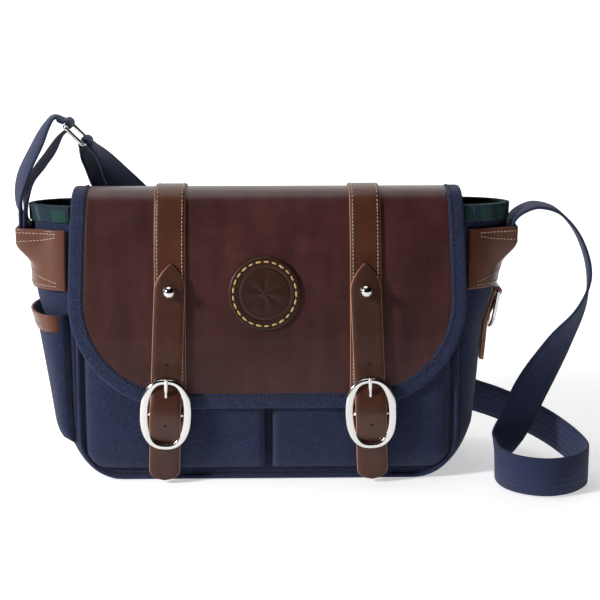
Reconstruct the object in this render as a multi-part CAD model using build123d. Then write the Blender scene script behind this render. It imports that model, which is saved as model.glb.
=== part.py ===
from build123d import *
import math
import os

# A canvas messenger bag with a leather flap, two buckled closure straps and a webbing shoulder strap.
# Frame: X to the wearer's right as the front is seen, +Y to the back, +Z up.
# The origin is the centre of the bottom panel's underside. All sizes are in millimetres.

# Body
PANEL_WIDTH = 375.0
BODY_HEIGHT = 268.0
BODY_DEPTH = 115.0
MOUTH_DEPTH = 56.0
STRAIGHT_HEIGHT = 60.0
LEAN_POWER = 1.5
CORNER_RADIUS = 44.0
CANVAS = 2.0
LINING = 1.0
GAP = 0.3
PIPING_WIDTH = 5.0
PIPING_HEIGHT = 2.4
FACING_HEIGHT = 16.0
BOARD_THICKNESS = 2.2
BOARD_MARGIN = 6.0
GUSSET_FACETS = 8

# How far each gusset's fold stands out past the panels' side seams, by height.
LEFT_FOLD = [(0, 0), (46, 17), (96, 25), (150, 34), (175, 42), (190, 45), (268, 47)]
RIGHT_FOLD = [(0, 0), (50, 21), (100, 24.5), (146, 28), (188, 40), (236, 51), (268, 52)]

# Front pockets, side pocket and inside pocket
POCKET_ROOM = 9.0
POCKET_WALL = 1.5
POCKET_TOP = 150.0
POCKET_FLOOR = 12.0
POCKET_SEAM = 6.0
POCKET_SIDE_MARGIN = 4.0
SIDE_POCKET_ROOM = 7.0
SIDE_POCKET_FLOOR = 38.0
SIDE_POCKET_TOP = 165.0
SIDE_TRIM_HEIGHT = 16.0
INNER_POCKET_WIDTH = 170.0
INNER_POCKET_FLOOR = 62.0
INNER_POCKET_TOP = 190.0
INNER_POCKET_ROOM = 6.0

# Leather patches on the gussets
PATCH_BOTTOM = 188.0
PATCH_TOP = 246.0
PATCH_THICKNESS = 1.8

# Flap
FLAP_WIDTH = 386.0
FLAP_TOP_WIDTH = 378.0
FLAP_BOTTOM = 76.0
FLAP_CORNER = 105.0
FLAP_LINING = 0.8
FLAP_THICKNESS = 3.2
BINDING_WIDTH = 15.0
BINDING_RAISE = 0.6
HINGE_Z = 268.0
HINGE_GAP = 2.0
STRAP_HINGE_GAP = 5.2
BACK_STRIP_HEIGHT = 42.0
FLAP_CLEARANCE = 0.6
CREST_Z = 280.0

# Leather straps sewn to the flap
STRAP_X = 94.5
STRAP_WIDTH = 30.0
FLAP_STRAP_THICKNESS = 2.4

# Closure straps, buckles and studs
CLOSURE_THICKNESS = 3.0
CLOSURE_LEAN = 2.4
TIP_TOP = 217.0
TIP_POINT = 14.0
FOLD_Z = 172.0
FOLD_GAP = 2.0
STUD_Z = 192.0
BALL_RADIUS = 6.2
NECK_RADIUS = 2.8
SHANK_RADIUS = 2.0
SCREW_RADIUS = 1.2
SCREW_HEAD_RADIUS = 5.0
SCREW_HEAD = 1.2
SLIT_LENGTH = 9.0
SLIT_WIDTH = 2.0
TAIL_END = 4.0
HOLE_RADIUS = 1.8
SPARE_HOLES = (121.0, 63.7)
BUCKLE_Z = 73.0
BUCKLE_WIDTH = 50.0
BUCKLE_HEIGHT = 71.0
BUCKLE_INNER_WIDTH = 32.0
BUCKLE_INNER_HEIGHT = 60.0
BUCKLE_INNER_CORNER = 7.0
BUCKLE_THICKNESS = 4.5
BUCKLE_EDGE = 1.4
BAR_RADIUS = 2.0
PRONG_WIDTH = 6.0
PRONG_THICKNESS = 2.4
PRONG_LOOP = 1.8
CHAPE_WIDTH = 24.0
CHAPE_LEATHER = 1.8
CHAPE_END = 48.0
BUCKLE_PATCH_WIDTH = 40.0
BUCKLE_PATCH_BOTTOM = 45.0
BUCKLE_PATCH_TOP = 73.0

# Medallion
MEDALLION_X = -3.0
MEDALLION_Z = 188.0
MEDALLION_RADIUS = 35.0
MEDALLION_THICKNESS = 3.0
RING_RADIUS = 25.0
RING_WIDTH = 2.0
RING_DEPTH = 0.8

# Webbing, ring, slider and D-ring
WEBBING_WIDTH = 38.0
WEBBING_THICKNESS = 2.8
WIRE_RADIUS = 2.0
RING_LENGTH = 47.0
RING_CORNER = 3.5
SLIDER_BAR_RADIUS = 1.5
SLIDER_REACH = 11.0
LAYER_SPACING = 6.4
STRAP_BACK_Y = 88.0
SLIDER_Z = 150.0
TAB_WIDTH = 28.0
TAB_LEATHER = 2.0
TAB_BOTTOM = 109.0
TAB_FOLD_Z = 179.0
D_WIDTH = 34.0
D_HEIGHT = 42.0
D_TILT = 9.5

SIDES = (("left", -1), ("right", 1))
HALF_WIDTH = PANEL_WIDTH / 2
HALF_FLAP = FLAP_WIDTH / 2
FAR = 900.0


# Curves and plain solids

def interpolate(knots, z):
    """The value at height z of a line through (height, value) knots."""
    for (z0, a), (z1, b) in zip(knots, knots[1:]):
        if z <= z1:
            return a + (b - a) * (z - z0) / (z1 - z0)
    return knots[-1][1]


def smooth(points, steps):
    """Points along a Catmull-Rom curve through the given points, of any dimension."""
    padded = [points[0], *points, points[-1]]
    curve = []
    for p, q, r, s in zip(padded, padded[1:], padded[2:], padded[3:]):
        for step in range(steps):
            t = step / steps
            weights = (-t + 2 * t**2 - t**3, 2 - 5 * t**2 + 3 * t**3, t + 4 * t**2 - 3 * t**3, t**3 - t**2)
            curve.append(tuple(sum(w * c for w, c in zip(weights, four)) / 2 for four in zip(p, q, r, s)))
    return [*curve, tuple(points[-1])]


def polygon_face(points):
    return Face(Wire.make_polygon([Vector(*point) for point in points], close=True))


def skin(rings):
    """A closed solid of flat triangles through rings that all have the same number of points."""
    faces = [polygon_face(rings[0]), polygon_face(rings[-1])]
    count = len(rings[0])
    for low, high in zip(rings, rings[1:]):
        for i in range(count):
            j = (i + 1) % count
            faces.append(polygon_face([low[i], low[j], high[j]]))
            faces.append(polygon_face([low[i], high[j], high[i]]))
    return Solid(Shell(faces))


def box(x0, x1, y0, y1, z0, z1):
    centre = ((x0 + x1) / 2, (y0 + y1) / 2, (z0 + z1) / 2)
    return Pos(*centre) * Box(abs(x1 - x0), abs(y1 - y0), abs(z1 - z0))


def side_extrusion(outline, x0, x1):
    """A (y, z) outline extruded from x0 to x1."""
    return extrude(polygon_face([(x0, y, z) for y, z in outline]), x1 - x0, dir=(1, 0, 0))


def front_extrusion(outline):
    """An (x, z) outline extruded right through the bag along Y."""
    return extrude(polygon_face([(x, -FAR / 2, z) for x, z in outline]), FAR, dir=(0, 1, 0))


def tube_y(x, z, radius, y0, y1):
    """A round bar along Y."""
    return Pos(x, (y0 + y1) / 2, z) * Rot(90, 0, 0) * Cylinder(radius, abs(y1 - y0))


def tube_x(y, z, radius, x0, x1):
    """A round bar along X."""
    return Pos((x0 + x1) / 2, y, z) * Rot(0, 90, 0) * Cylinder(radius, abs(x1 - x0))


def offset_path(path, distance):
    """A (y, z) path moved to its left side by a distance."""
    moved = []
    for i, (y, z) in enumerate(path):
        y0, z0 = path[max(i - 1, 0)]
        y1, z1 = path[min(i + 1, len(path) - 1)]
        length = math.hypot(y1 - y0, z1 - z0)
        moved.append((y - (z1 - z0) / length * distance, z + (y1 - y0) / length * distance))
    return moved


def layer(path, near, far, x0, x1):
    """A sheet on a (y, z) path, between two distances on the path's left, extruded along X."""
    outline = offset_path(path, near) + offset_path(path, far)[::-1]
    return side_extrusion(outline, x0, x1)


# Body shape

def half_depth(z):
    """Half the body's depth at height z, narrowing above the straight part."""
    share = max(0.0, (z - STRAIGHT_HEIGHT) / (BODY_HEIGHT - STRAIGHT_HEIGHT))
    return (BODY_DEPTH - (BODY_DEPTH - MOUTH_DEPTH) * share**LEAN_POWER) / 2


def half_width(z, inset):
    """Half the width between the side seams at height z, rounded at the bottom corners."""
    rise = min(z, CORNER_RADIUS)
    reach = max(0.0, (CORNER_RADIUS - inset) ** 2 - (CORNER_RADIUS - rise) ** 2)
    return HALF_WIDTH - CORNER_RADIUS + math.sqrt(reach)


def body_ring(z, inset):
    """A level outline of the body with its folded-out gussets, inset by a wall."""
    width, depth = half_width(z, inset), half_depth(z) - inset
    turns = [math.pi * (i / GUSSET_FACETS - 0.5) for i in range(GUSSET_FACETS + 1)]
    right, left = interpolate(RIGHT_FOLD, z), interpolate(LEFT_FOLD, z)
    ring = [(width + right * math.cos(a), depth * math.sin(a), z) for a in turns]
    return ring + [(-width - left * math.cos(a), -depth * math.sin(a), z) for a in turns]


def body_solid(inset, top=BODY_HEIGHT):
    """The whole body as a solid, inset from its outside."""
    corner = [inset + (CORNER_RADIUS - inset) * share for share in (0, 0.06, 0.2, 0.45, 1)]
    upper = [70, 100, 125, 146, 160, 175, 190, 210, 236]
    rise = BODY_HEIGHT / 268.0
    return skin([body_ring(z, inset) for z in [*corner, *(z * rise for z in upper), top]])


def body_wall(outer, inner):
    """A wall of the body between two insets, open at the mouth."""
    return body_solid(outer) - body_solid(inner, BODY_HEIGHT + 1)


def panel_path(bottom, top):
    """The front panel's outer face as a (y, z) path from its bottom edge to its top edge."""
    bends = [STRAIGHT_HEIGHT + (BODY_HEIGHT - STRAIGHT_HEIGHT) * i / 6 for i in range(7)]
    levels = [bottom, *(z for z in bends if bottom < z < top), top]
    return [(-half_depth(z), z) for z in levels]


def front_slab(near, far, bottom=0.0, top=BODY_HEIGHT, half=HALF_WIDTH):
    """A sheet that follows the front panel, between two distances in front of its outer face."""
    near_edge = [(y - near, z) for y, z in panel_path(bottom, top)]
    far_edge = [(y - far, z) for y, z in panel_path(bottom, top)]
    return side_extrusion(near_edge + far_edge[::-1], -half, half)


def to_back(shape):
    """The same shape on the back of the bag."""
    return mirror(shape, about=Plane.XZ)


def panel_outline(inset):
    """The (x, z) outline inside a panel's U-shaped seam: sides, bottom and two round corners."""
    radius = CORNER_RADIUS - inset
    right = []
    for i in range(13):
        turn = math.pi / 2 * i / 12
        x = HALF_WIDTH - CORNER_RADIUS + radius * math.sin(turn)
        right.append((x, CORNER_RADIUS - radius * math.cos(turn)))
    right.append((HALF_WIDTH - inset, BODY_HEIGHT + 1))
    return right + [(-x, z) for x, z in right[::-1]]


def front_panel():
    return front_slab(-CANVAS, 0) & front_extrusion(panel_outline(0))


def front_piping():
    """The raised turned seam round the front panel's sides and bottom."""
    top = HINGE_Z - HINGE_GAP - BACK_STRIP_HEIGHT - GAP
    ridge = front_slab(GAP, PIPING_HEIGHT, 0, top)
    return (ridge & front_extrusion(panel_outline(0))) - front_extrusion(panel_outline(PIPING_WIDTH))


def gusset_band():
    """The canvas strip between the two panels, down one side, under the bottom and up the other."""
    seam = front_slab(-CANVAS - GAP, 60, -1, BODY_HEIGHT + 2, FAR / 2)
    return body_wall(0, CANVAS) - seam - to_back(seam)


def bottom_reach():
    return HALF_WIDTH - CORNER_RADIUS


def gusset(band, side):
    start = bottom_reach() + GAP / 2
    return band & box(side * start, side * FAR / 2, -FAR / 2, FAR / 2, -1, BODY_HEIGHT + 2)


def bottom_panel(band):
    reach = bottom_reach() - GAP / 2
    return band & box(-reach, reach, -FAR / 2, FAR / 2, -1, CANVAS + 1)


def lining():
    return body_wall(CANVAS + GAP, CANVAS + GAP + LINING)


def facing_inset():
    return CANVAS + LINING + 2 * GAP


def rim_facing():
    """The checked band sewn inside the mouth."""
    band = body_wall(facing_inset(), facing_inset() + LINING)
    return band & box(-FAR / 2, FAR / 2, -FAR / 2, FAR / 2, BODY_HEIGHT - FACING_HEIGHT, BODY_HEIGHT + 1)


def base_board():
    floor = CANVAS + LINING + 2 * GAP
    inset = CANVAS + LINING + GAP + BOARD_MARGIN
    half_y = BODY_DEPTH / 2 - inset
    return box(-bottom_reach(), bottom_reach(), -half_y, half_y, floor, floor + BOARD_THICKNESS)


# Pockets and patches

def open_pocket(near, room, wall, floor, top, x0, x1):
    """A pocket on the front panel's face: a wall, two sides and a floor, open at the top."""
    outside = front_slab(near, near + room + wall, floor, top, FAR / 2) & box(x0, x1, -FAR, FAR, 0, FAR)
    inside = front_slab(near, near + room, floor, top + 1, FAR / 2)
    return outside - (inside & box(x0 + wall, x1 - wall, -FAR, FAR, floor + wall, FAR))


def front_pocket(side):
    inner = side * POCKET_SEAM / 2
    outer = side * (HALF_WIDTH - PIPING_WIDTH - POCKET_SIDE_MARGIN)
    x0, x1 = sorted((inner, outer))
    pocket = open_pocket(GAP, POCKET_ROOM, POCKET_WALL, POCKET_FLOOR, POCKET_TOP, x0, x1)
    return pocket & front_extrusion(panel_outline(PIPING_WIDTH + GAP))


def pocket_face(z):
    """How far forward of the axis the front pockets' outer face is."""
    return half_depth(z) + GAP + POCKET_ROOM + POCKET_WALL


def inner_pocket():
    """A slip pocket hung on the lining's back wall."""
    inset = CANVAS + LINING + 2 * GAP
    half = INNER_POCKET_WIDTH / 2
    depth = INNER_POCKET_ROOM + POCKET_WALL
    outside = front_slab(-inset - depth, -inset, INNER_POCKET_FLOOR, INNER_POCKET_TOP, half)
    inside = front_slab(-inset - INNER_POCKET_ROOM, -inset, INNER_POCKET_FLOOR, INNER_POCKET_TOP + 1, half)
    room = box(-half + POCKET_WALL, half - POCKET_WALL, -FAR, FAR, INNER_POCKET_FLOOR + POCKET_WALL, FAR)
    return to_back(outside - (inside & room))


def gusset_wrap(near, far, side, bottom, top):
    """A layer wrapped round the outside of one gusset, between two distances out from it."""
    wall = body_solid(-far, BODY_HEIGHT) - body_solid(-near, BODY_HEIGHT + 1)
    seam = front_slab(-CANVAS, 90, -20, BODY_HEIGHT + 2, FAR / 2)
    start = HALF_WIDTH + PIPING_HEIGHT
    return (wall - seam - to_back(seam)) & box(side * start, side * FAR / 2, -FAR, FAR, bottom, top)


def gusset_patch(side):
    return gusset_wrap(GAP, GAP + PATCH_THICKNESS, side, PATCH_BOTTOM, PATCH_TOP)


def side_pocket():
    near, far = GAP + SIDE_POCKET_ROOM, GAP + SIDE_POCKET_ROOM + POCKET_WALL
    wall = gusset_wrap(near, far, -1, SIDE_POCKET_FLOOR, SIDE_POCKET_TOP)
    floor = gusset_wrap(GAP, far, -1, SIDE_POCKET_FLOOR, SIDE_POCKET_FLOOR + POCKET_WALL)
    return wall + floor


def side_pocket_trim():
    near = 2 * GAP + SIDE_POCKET_ROOM + POCKET_WALL
    bottom = SIDE_POCKET_TOP - SIDE_TRIM_HEIGHT
    return gusset_wrap(near, near + PATCH_THICKNESS, -1, bottom, SIDE_POCKET_TOP)


# Flap, drawn on a (y, z) path from its front edge, up the front, over the crest and down to the back hinge

def hinge_y():
    return half_depth(HINGE_Z) + GAP + FLAP_THICKNESS / 2


def flap_path():
    """The flap's inner face. Its left side, walking from the front edge to the hinge, is outside."""
    front = [(-pocket_face(z) - FLAP_CLEARANCE, z) for z in (FLAP_BOTTOM, 88, 100, 112, 125, 138, 150)]
    mouth = half_depth(BODY_HEIGHT)
    rise = CREST_Z - BODY_HEIGHT
    upper = [
        (-half_depth(190) - 10.5, 190),
        (-half_depth(225) - 9.5, 225),
        (-half_depth(250) - 6.5, 250),
        (-mouth - 3.0, BODY_HEIGHT - 4),
        (-mouth + 3.5, BODY_HEIGHT + 0.6 * rise),
        (-mouth + 15, BODY_HEIGHT + 0.95 * rise),
        (2, CREST_Z),
        (mouth - 12, BODY_HEIGHT + 0.86 * rise),
        (mouth - 3, BODY_HEIGHT + 0.5 * rise),
        (mouth + GAP, HINGE_Z + HINGE_GAP),
    ]
    return smooth(front + upper, 3)


def flap_outline(inset):
    """The flap's (x, z) front outline: round lower corners and slightly narrower at the crest."""
    radius = FLAP_CORNER - inset
    right = []
    for i in range(17):
        turn = math.pi / 2 * i / 16
        x = HALF_FLAP - FLAP_CORNER + radius * math.sin(turn)
        right.append((x, FLAP_BOTTOM + FLAP_CORNER - radius * math.cos(turn)))
    right.append((FLAP_TOP_WIDTH / 2 - inset, CREST_Z + 30))
    return right + [(-x, z) for x, z in right[::-1]]


def flap_sheet(near, far, half=HALF_FLAP, offset=0.0):
    return layer(flap_path(), near, far, offset - half, offset + half)


def stud_hole(side, radius):
    return tube_y(side * STRAP_X, STUD_Z, radius, -FAR / 4, 0)


def flap_panel():
    sheet = flap_sheet(FLAP_LINING + 0.1, FLAP_THICKNESS) & front_extrusion(flap_outline(BINDING_WIDTH))
    return sheet - stud_hole(-1, SHANK_RADIUS + 0.2) - stud_hole(1, SHANK_RADIUS + 0.2)


def flap_lining():
    sheet = flap_sheet(0, FLAP_LINING) & front_extrusion(flap_outline(BINDING_WIDTH))
    return sheet - stud_hole(-1, SHANK_RADIUS + 0.2) - stud_hole(1, SHANK_RADIUS + 0.2)


def flap_binding():
    sheet = flap_sheet(0, FLAP_THICKNESS + BINDING_RAISE)
    return (sheet & front_extrusion(flap_outline(0))) - front_extrusion(flap_outline(BINDING_WIDTH - GAP))


def back_strip(near, far, x0, x1, hinge_gap):
    """A strip sewn down the outside of the back panel from the hinge line."""
    bottom = HINGE_Z - HINGE_GAP - BACK_STRIP_HEIGHT
    strip = front_slab(near + GAP, far + GAP, bottom, HINGE_Z - hinge_gap, FAR / 2)
    return to_back(strip) & box(x0, x1, -FAR, FAR, 0, FAR)


def strap_near():
    return FLAP_THICKNESS + 0.2


def closure_near():
    return strap_near() + FLAP_STRAP_THICKNESS + GAP


def closure_far():
    return closure_near() + CLOSURE_THICKNESS


def flap_strap(side):
    sheet = flap_sheet(strap_near(), strap_near() + FLAP_STRAP_THICKNESS, STRAP_WIDTH / 2, side * STRAP_X)
    strap = sheet & front_extrusion(flap_outline(BINDING_WIDTH + GAP))
    strap -= box(-FAR, FAR, 0, FAR, HINGE_Z - 20, HINGE_Z + STRAP_HINGE_GAP)
    return strap - stud_hole(side, SHANK_RADIUS + 0.2)


def back_strap(side):
    x, half = side * STRAP_X, STRAP_WIDTH / 2
    far = strap_near() + FLAP_STRAP_THICKNESS
    return back_strip(strap_near(), far, x - half, x + half, STRAP_HINGE_GAP)


def surface_y(distance, z):
    """Where the flap's face, moved out by a distance, is at height z on the front."""
    face = [(z0, y0) for y0, z0 in offset_path(flap_path(), distance)]
    return interpolate(face, z)


def medallion():
    """A round leather badge that follows the flap, with an embossed ring."""
    disc = flap_sheet(strap_near(), strap_near() + MEDALLION_THICKNESS)
    disc &= tube_y(MEDALLION_X, MEDALLION_Z, MEDALLION_RADIUS, -FAR / 4, 0)
    relief = flap_sheet(strap_near() + MEDALLION_THICKNESS - RING_DEPTH, 30)
    ring = tube_y(MEDALLION_X, MEDALLION_Z, RING_RADIUS, -FAR / 4, 0)
    ring -= tube_y(MEDALLION_X, MEDALLION_Z, RING_RADIUS - RING_WIDTH, -FAR / 4, 0)
    return disc - (relief & ring)


# Closure: the strap, buckle and chape are drawn upright at x = 0, then leaned and moved to their side

def buckle_y():
    """The buckle frame's middle plane."""
    return surface_y(closure_far(), BUCKLE_Z + BUCKLE_HEIGHT / 2) - BUCKLE_THICKNESS / 2 - 2.0


def placed(shape, side):
    leaned = Rot(0, side * -CLOSURE_LEAN, 0) * (Pos(0, 0, -STUD_Z) * shape)
    return Pos(side * STRAP_X, 0, STUD_Z) * leaned


def closure_path():
    """The closure strap's middle line, from its fold down through the buckle to its end."""
    middle = closure_near() + CLOSURE_THICKNESS / 2
    frame = buckle_y()
    back = frame + BUCKLE_THICKNESS / 2
    half = BUCKLE_HEIGHT / 2
    over_bar = frame - BAR_RADIUS - 0.2 - PRONG_LOOP - GAP - CLOSURE_THICKNESS / 2
    face = [z for z in (FOLD_Z - FOLD_GAP, 160, 150, 140, 130, 120) if z > BUCKLE_Z + half + 6]
    upper = [(surface_y(middle, z), z) for z in face]
    under = back + CLOSURE_THICKNESS / 2 + GAP
    through = [
        (under + 0.9, BUCKLE_Z + half + 1),
        (under + 0.9, BUCKLE_Z + half - 5.5),
        ((under + over_bar) / 2 + 1.4, BUCKLE_Z + 20.5),
        (over_bar + 2.2, BUCKLE_Z + 12),
        (over_bar, BUCKLE_Z + 3),
        (over_bar, BUCKLE_Z - 3),
        (over_bar + 2.6, BUCKLE_Z - 13),
        (over_bar + 6.6, BUCKLE_Z - 23),
        (under + 0.5, BUCKLE_Z - half + 4.5),
        (under + 1.6, BUCKLE_Z - half - 3),
        (under + 2.6, BUCKLE_Z - half - 18),
        (under + 3.0, TAIL_END),
    ]
    return upper + through


def closure_blank():
    """The closure strap's outline seen from the front: a plain strip with a round end."""
    radius = STRAP_WIDTH / 2
    end = []
    for i in range(13):
        turn = math.pi * i / 12
        end.append((-radius * math.cos(turn), TAIL_END + radius * 0.7 * (1 - math.sin(turn))))
    return [(-radius, FOLD_Z), *end, (radius, FOLD_Z)]


def prong_slot():
    """The stretched hole that the prong comes through."""
    bottom, top = BUCKLE_Z + 11.5, BUCKLE_Z + 24.5
    width = PRONG_WIDTH / 2 + 0.8
    return box(-width, width, -FAR / 4, 0, bottom, top)


def closure_strap():
    half = STRAP_WIDTH / 2
    strap = layer(closure_path(), -CLOSURE_THICKNESS / 2, CLOSURE_THICKNESS / 2, -half, half)
    strap &= front_extrusion(closure_blank())
    for z in SPARE_HOLES:
        strap -= tube_y(0, z, HOLE_RADIUS, -FAR / 4, 0)
    return strap - prong_slot()


def closure_tip():
    """The strap's pointed top end, held flat on the flap by the stud."""
    half = STRAP_WIDTH / 2
    shoulder = TIP_TOP - TIP_POINT
    flank = [(half, shoulder), (half * 0.86, shoulder + TIP_POINT * 0.4), (half * 0.36, TIP_TOP - 2.6)]
    outline = [(half, FOLD_Z + FOLD_GAP), *flank, (0, TIP_TOP)]
    outline += [(-x, z) for x, z in outline[-2::-1]]
    tip = layer(flap_path(), closure_near(), closure_far(), -half, half) & front_extrusion(outline)
    slit = box(-SLIT_WIDTH / 2, SLIT_WIDTH / 2, -FAR / 4, 0, STUD_Z - NECK_RADIUS - SLIT_LENGTH, STUD_Z)
    return tip - tube_y(0, STUD_Z, NECK_RADIUS + GAP, -FAR / 4, 0) - slit


def stud(side):
    """A ball on a neck, with a hollow shank through the flap."""
    x = side * STRAP_X
    front = surface_y(closure_far(), STUD_Z)
    base = surface_y(strap_near() + FLAP_STRAP_THICKNESS, STUD_Z)
    inside = surface_y(0, STUD_Z)
    ball = Pos(x, front - BALL_RADIUS - 0.6, STUD_Z) * Sphere(BALL_RADIUS)
    neck = tube_y(x, STUD_Z, NECK_RADIUS, front - BALL_RADIUS, base - 0.6)
    shank = tube_y(x, STUD_Z, SHANK_RADIUS, base - 2, inside - 0.5)
    return ball + neck + shank - tube_y(x, STUD_Z, SCREW_RADIUS + 0.2, base - 1, inside + 5)


def stud_screw(side):
    """The flat screw that holds the stud from inside the flap."""
    x = side * STRAP_X
    inside = surface_y(0, STUD_Z) + 1.2
    head = tube_y(x, STUD_Z, SCREW_HEAD_RADIUS, inside, inside + SCREW_HEAD)
    return head + tube_y(x, STUD_Z, SCREW_RADIUS, inside - 5, inside + SCREW_HEAD)


def buckle_frame():
    """An oval frame with its centre bar."""
    corner = BUCKLE_WIDTH / 2 - 2
    outline = RectangleRounded(BUCKLE_WIDTH, BUCKLE_HEIGHT, corner)
    outline -= RectangleRounded(BUCKLE_INNER_WIDTH, BUCKLE_INNER_HEIGHT, BUCKLE_INNER_CORNER)
    frame = extrude(Plane.XZ * outline, BUCKLE_THICKNESS / 2, both=True)
    front = frame.faces().sort_by(Axis.Y)[0]
    frame = fillet(front.edges(), BUCKLE_EDGE)
    frame = Pos(0, buckle_y(), BUCKLE_Z) * frame
    reach = BUCKLE_INNER_WIDTH / 2 + 2
    return frame + tube_x(buckle_y(), BUCKLE_Z, BAR_RADIUS, -reach, reach)


def chape():
    """A short leather loop round the centre bar, running down to the front patch."""
    half = CHAPE_WIDTH / 2
    y, inner = buckle_y(), BAR_RADIUS + GAP
    rim = inner + CHAPE_LEATHER
    back = patch_front() - 2 * GAP - CHAPE_LEATHER
    path = [(y + inner + CHAPE_LEATHER / 2, BUCKLE_Z - 2), (back, BUCKLE_Z - 11), (back, CHAPE_END)]
    tab = layer(path, -CHAPE_LEATHER, CHAPE_LEATHER, -half, half)
    leather = tube_x(y, BUCKLE_Z, rim, -half, half) + tab
    leather -= tube_x(y, BUCKLE_Z, inner, -half - 1, half + 1)
    slot = PRONG_WIDTH / 2 + 1
    return leather - box(-slot, slot, y - 20, y + 20, BUCKLE_Z - 8, BUCKLE_Z + 8)


def prong():
    """The tongue: a loop on the centre bar, then an arm through the strap and over the frame."""
    half = PRONG_WIDTH / 2
    y = buckle_y()
    front = y - BUCKLE_THICKNESS / 2 - PRONG_THICKNESS / 2
    top = BUCKLE_Z + BUCKLE_HEIGHT / 2
    path = [
        (y - 1.0, BUCKLE_Z + 2.8),
        (y + 0.2, BUCKLE_Z + 12),
        (y - 1.6, BUCKLE_Z + 20),
        (front - 0.7, BUCKLE_Z + 26),
        (front - 0.8, top - 4),
        (front - 0.4, top + 0.8),
    ]
    arm = layer(path, -PRONG_THICKNESS / 2, PRONG_THICKNESS / 2, -half, half)
    loop = tube_x(y, BUCKLE_Z, BAR_RADIUS + 0.2 + PRONG_LOOP, -half, half)
    return loop + arm - tube_x(y, BUCKLE_Z, BAR_RADIUS + 0.2, -half - 1, half + 1)


def patch_front():
    return -pocket_face(BUCKLE_PATCH_BOTTOM) - 0.2 - PATCH_THICKNESS


def buckle_patch(side):
    half = BUCKLE_PATCH_WIDTH / 2
    back = patch_front() + PATCH_THICKNESS
    sheet = box(-half, half, patch_front(), back, BUCKLE_PATCH_BOTTOM, BUCKLE_PATCH_TOP)
    return placed(sheet, side)


# Webbing and its hardware

def across(vector, along):
    """The part of a vector square to a direction, at unit length."""
    return (vector - along * vector.dot(along)).normalized()


def ribbon(stations, steps):
    """Flat webbing through (x, y, z, wx, wy, wz) stations: a middle point and the width's direction."""
    curve = smooth(stations, steps)
    middles = [Vector(*point[:3]) for point in curve]
    rings = []
    for i, point in enumerate(curve):
        along = (middles[min(i + 1, len(curve) - 1)] - middles[max(i - 1, 0)]).normalized()
        wide = across(Vector(*point[3:]), along) * (WEBBING_WIDTH / 2)
        thick = along.cross(wide).normalized() * (WEBBING_THICKNESS / 2)
        corners = (wide + thick, thick - wide, -wide - thick, wide - thick)
        rings.append([tuple(middles[i] + corner) for corner in corners])
    return skin(rings)


# Stations of the shoulder strap, from the right gusset, over an arch, round a loop on the ground,
# behind the bag and up to the ring on the left: a middle point, then the direction of its width.
STRAP_ROUTE = [
    (242.4, 0, 236, 0, 1, 0),
    (243.0, 0, 250, 0, 1, 0),
    (252.0, 0, 259, 0, 1, 0),
    (268.0, 0, 264, 0, 1, 0),
    (290.0, 0, 257, 0, 1, 0),
    (311.0, -2, 232, 0, 1, 0.05),
    (322.0, -5, 195, 0.1, 1, 0.05),
    (315.0, -8, 160, 0.45, 0.9, 0),
    (292.0, -13, 124, 0.75, 0.55, -0.2),
    (265.0, -20, 80, 0.8, 0.2, -0.5),
    (247.0, -32, 47, 0.55, 0.1, -0.85),
    (228.0, -50, 25, 0.1, 0, -1),
    (225.0, -80, 20.5, 0, 0, -1),
    (238.0, -107, 20.5, 0, 0, -1),
    (266.0, -119, 20.5, 0, 0, -1),
    (294.0, -108, 20.5, 0, 0, -1),
    (312.0, -80, 21, 0, 0, -1),
    (308.0, -40, 24, 0, 0, -1),
    (284.0, 5, 34, 0.1, 0, -1),
    (245.0, 45, 44, 0.2, 0.05, -1),
    (205.0, 72, 52, 0.2, 0.1, -1),
    (150.0, 84, 75, 0.35, 0, -0.95),
    (90.0, STRAP_BACK_Y, 105, -0.45, 0, -0.9),
    (50.0, STRAP_BACK_Y, 125, -0.45, 0, -0.9),
    (0.0, STRAP_BACK_Y, SLIDER_Z, -0.45, 0, -0.9),
    (-50.0, STRAP_BACK_Y, 175, -0.45, 0, -0.9),
    (-75.0, STRAP_BACK_Y, 187.5, -0.45, 0, -0.9),
    (-108.0, STRAP_BACK_Y, 210, -0.45, -0.15, -0.85),
    (-148.0, 89, 248, -0.5, -0.5, -0.65),
    (-175.0, 86, 284, -0.4, -0.85, -0.4),
    (-187.0, 76.5, 303, -0.1, -1, -0.05),
]

RING_TOP = Vector(-204.5, 73.0, 337.0)
RING_BOTTOM = Vector(-186.0, 73.0, 318.5)
WRAP_RADIUS = WIRE_RADIUS + GAP + WEBBING_THICKNESS / 2 + 0.7


def wrap(centre, start, end, facets):
    """Stations round a bar along Y, from one angle to another, in degrees from +X towards +Z."""
    turns = [math.radians(start + (end - start) * i / facets) for i in range(facets + 1)]
    x, y, z = centre
    return [(x + WRAP_RADIUS * math.cos(a), y, z + WRAP_RADIUS * math.sin(a), 0, -1, 0) for a in turns]


# The doubled end: round the ring's lower bar and back down behind the bag, beside the first layer.
RETURN_ROUTE = [
    (-171.5, 75, 306, -0.1, -1, -0.1),
    (-158.0, 79.5, 285, -0.4, -0.85, -0.4),
    (-133.0, 81, 254, -0.5, -0.5, -0.65),
    (-101.0, 81, 216, -0.45, -0.15, -0.85),
    (-66.0, STRAP_BACK_Y - LAYER_SPACING, 183, -0.45, 0, -0.9),
    (-44.0, STRAP_BACK_Y - LAYER_SPACING, 172, -0.45, 0, -0.9),
    (0.0, STRAP_BACK_Y - LAYER_SPACING, SLIDER_Z, -0.45, 0, -0.9),
    (52.0, STRAP_BACK_Y - LAYER_SPACING, 124, -0.45, 0, -0.9),
]

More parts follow.
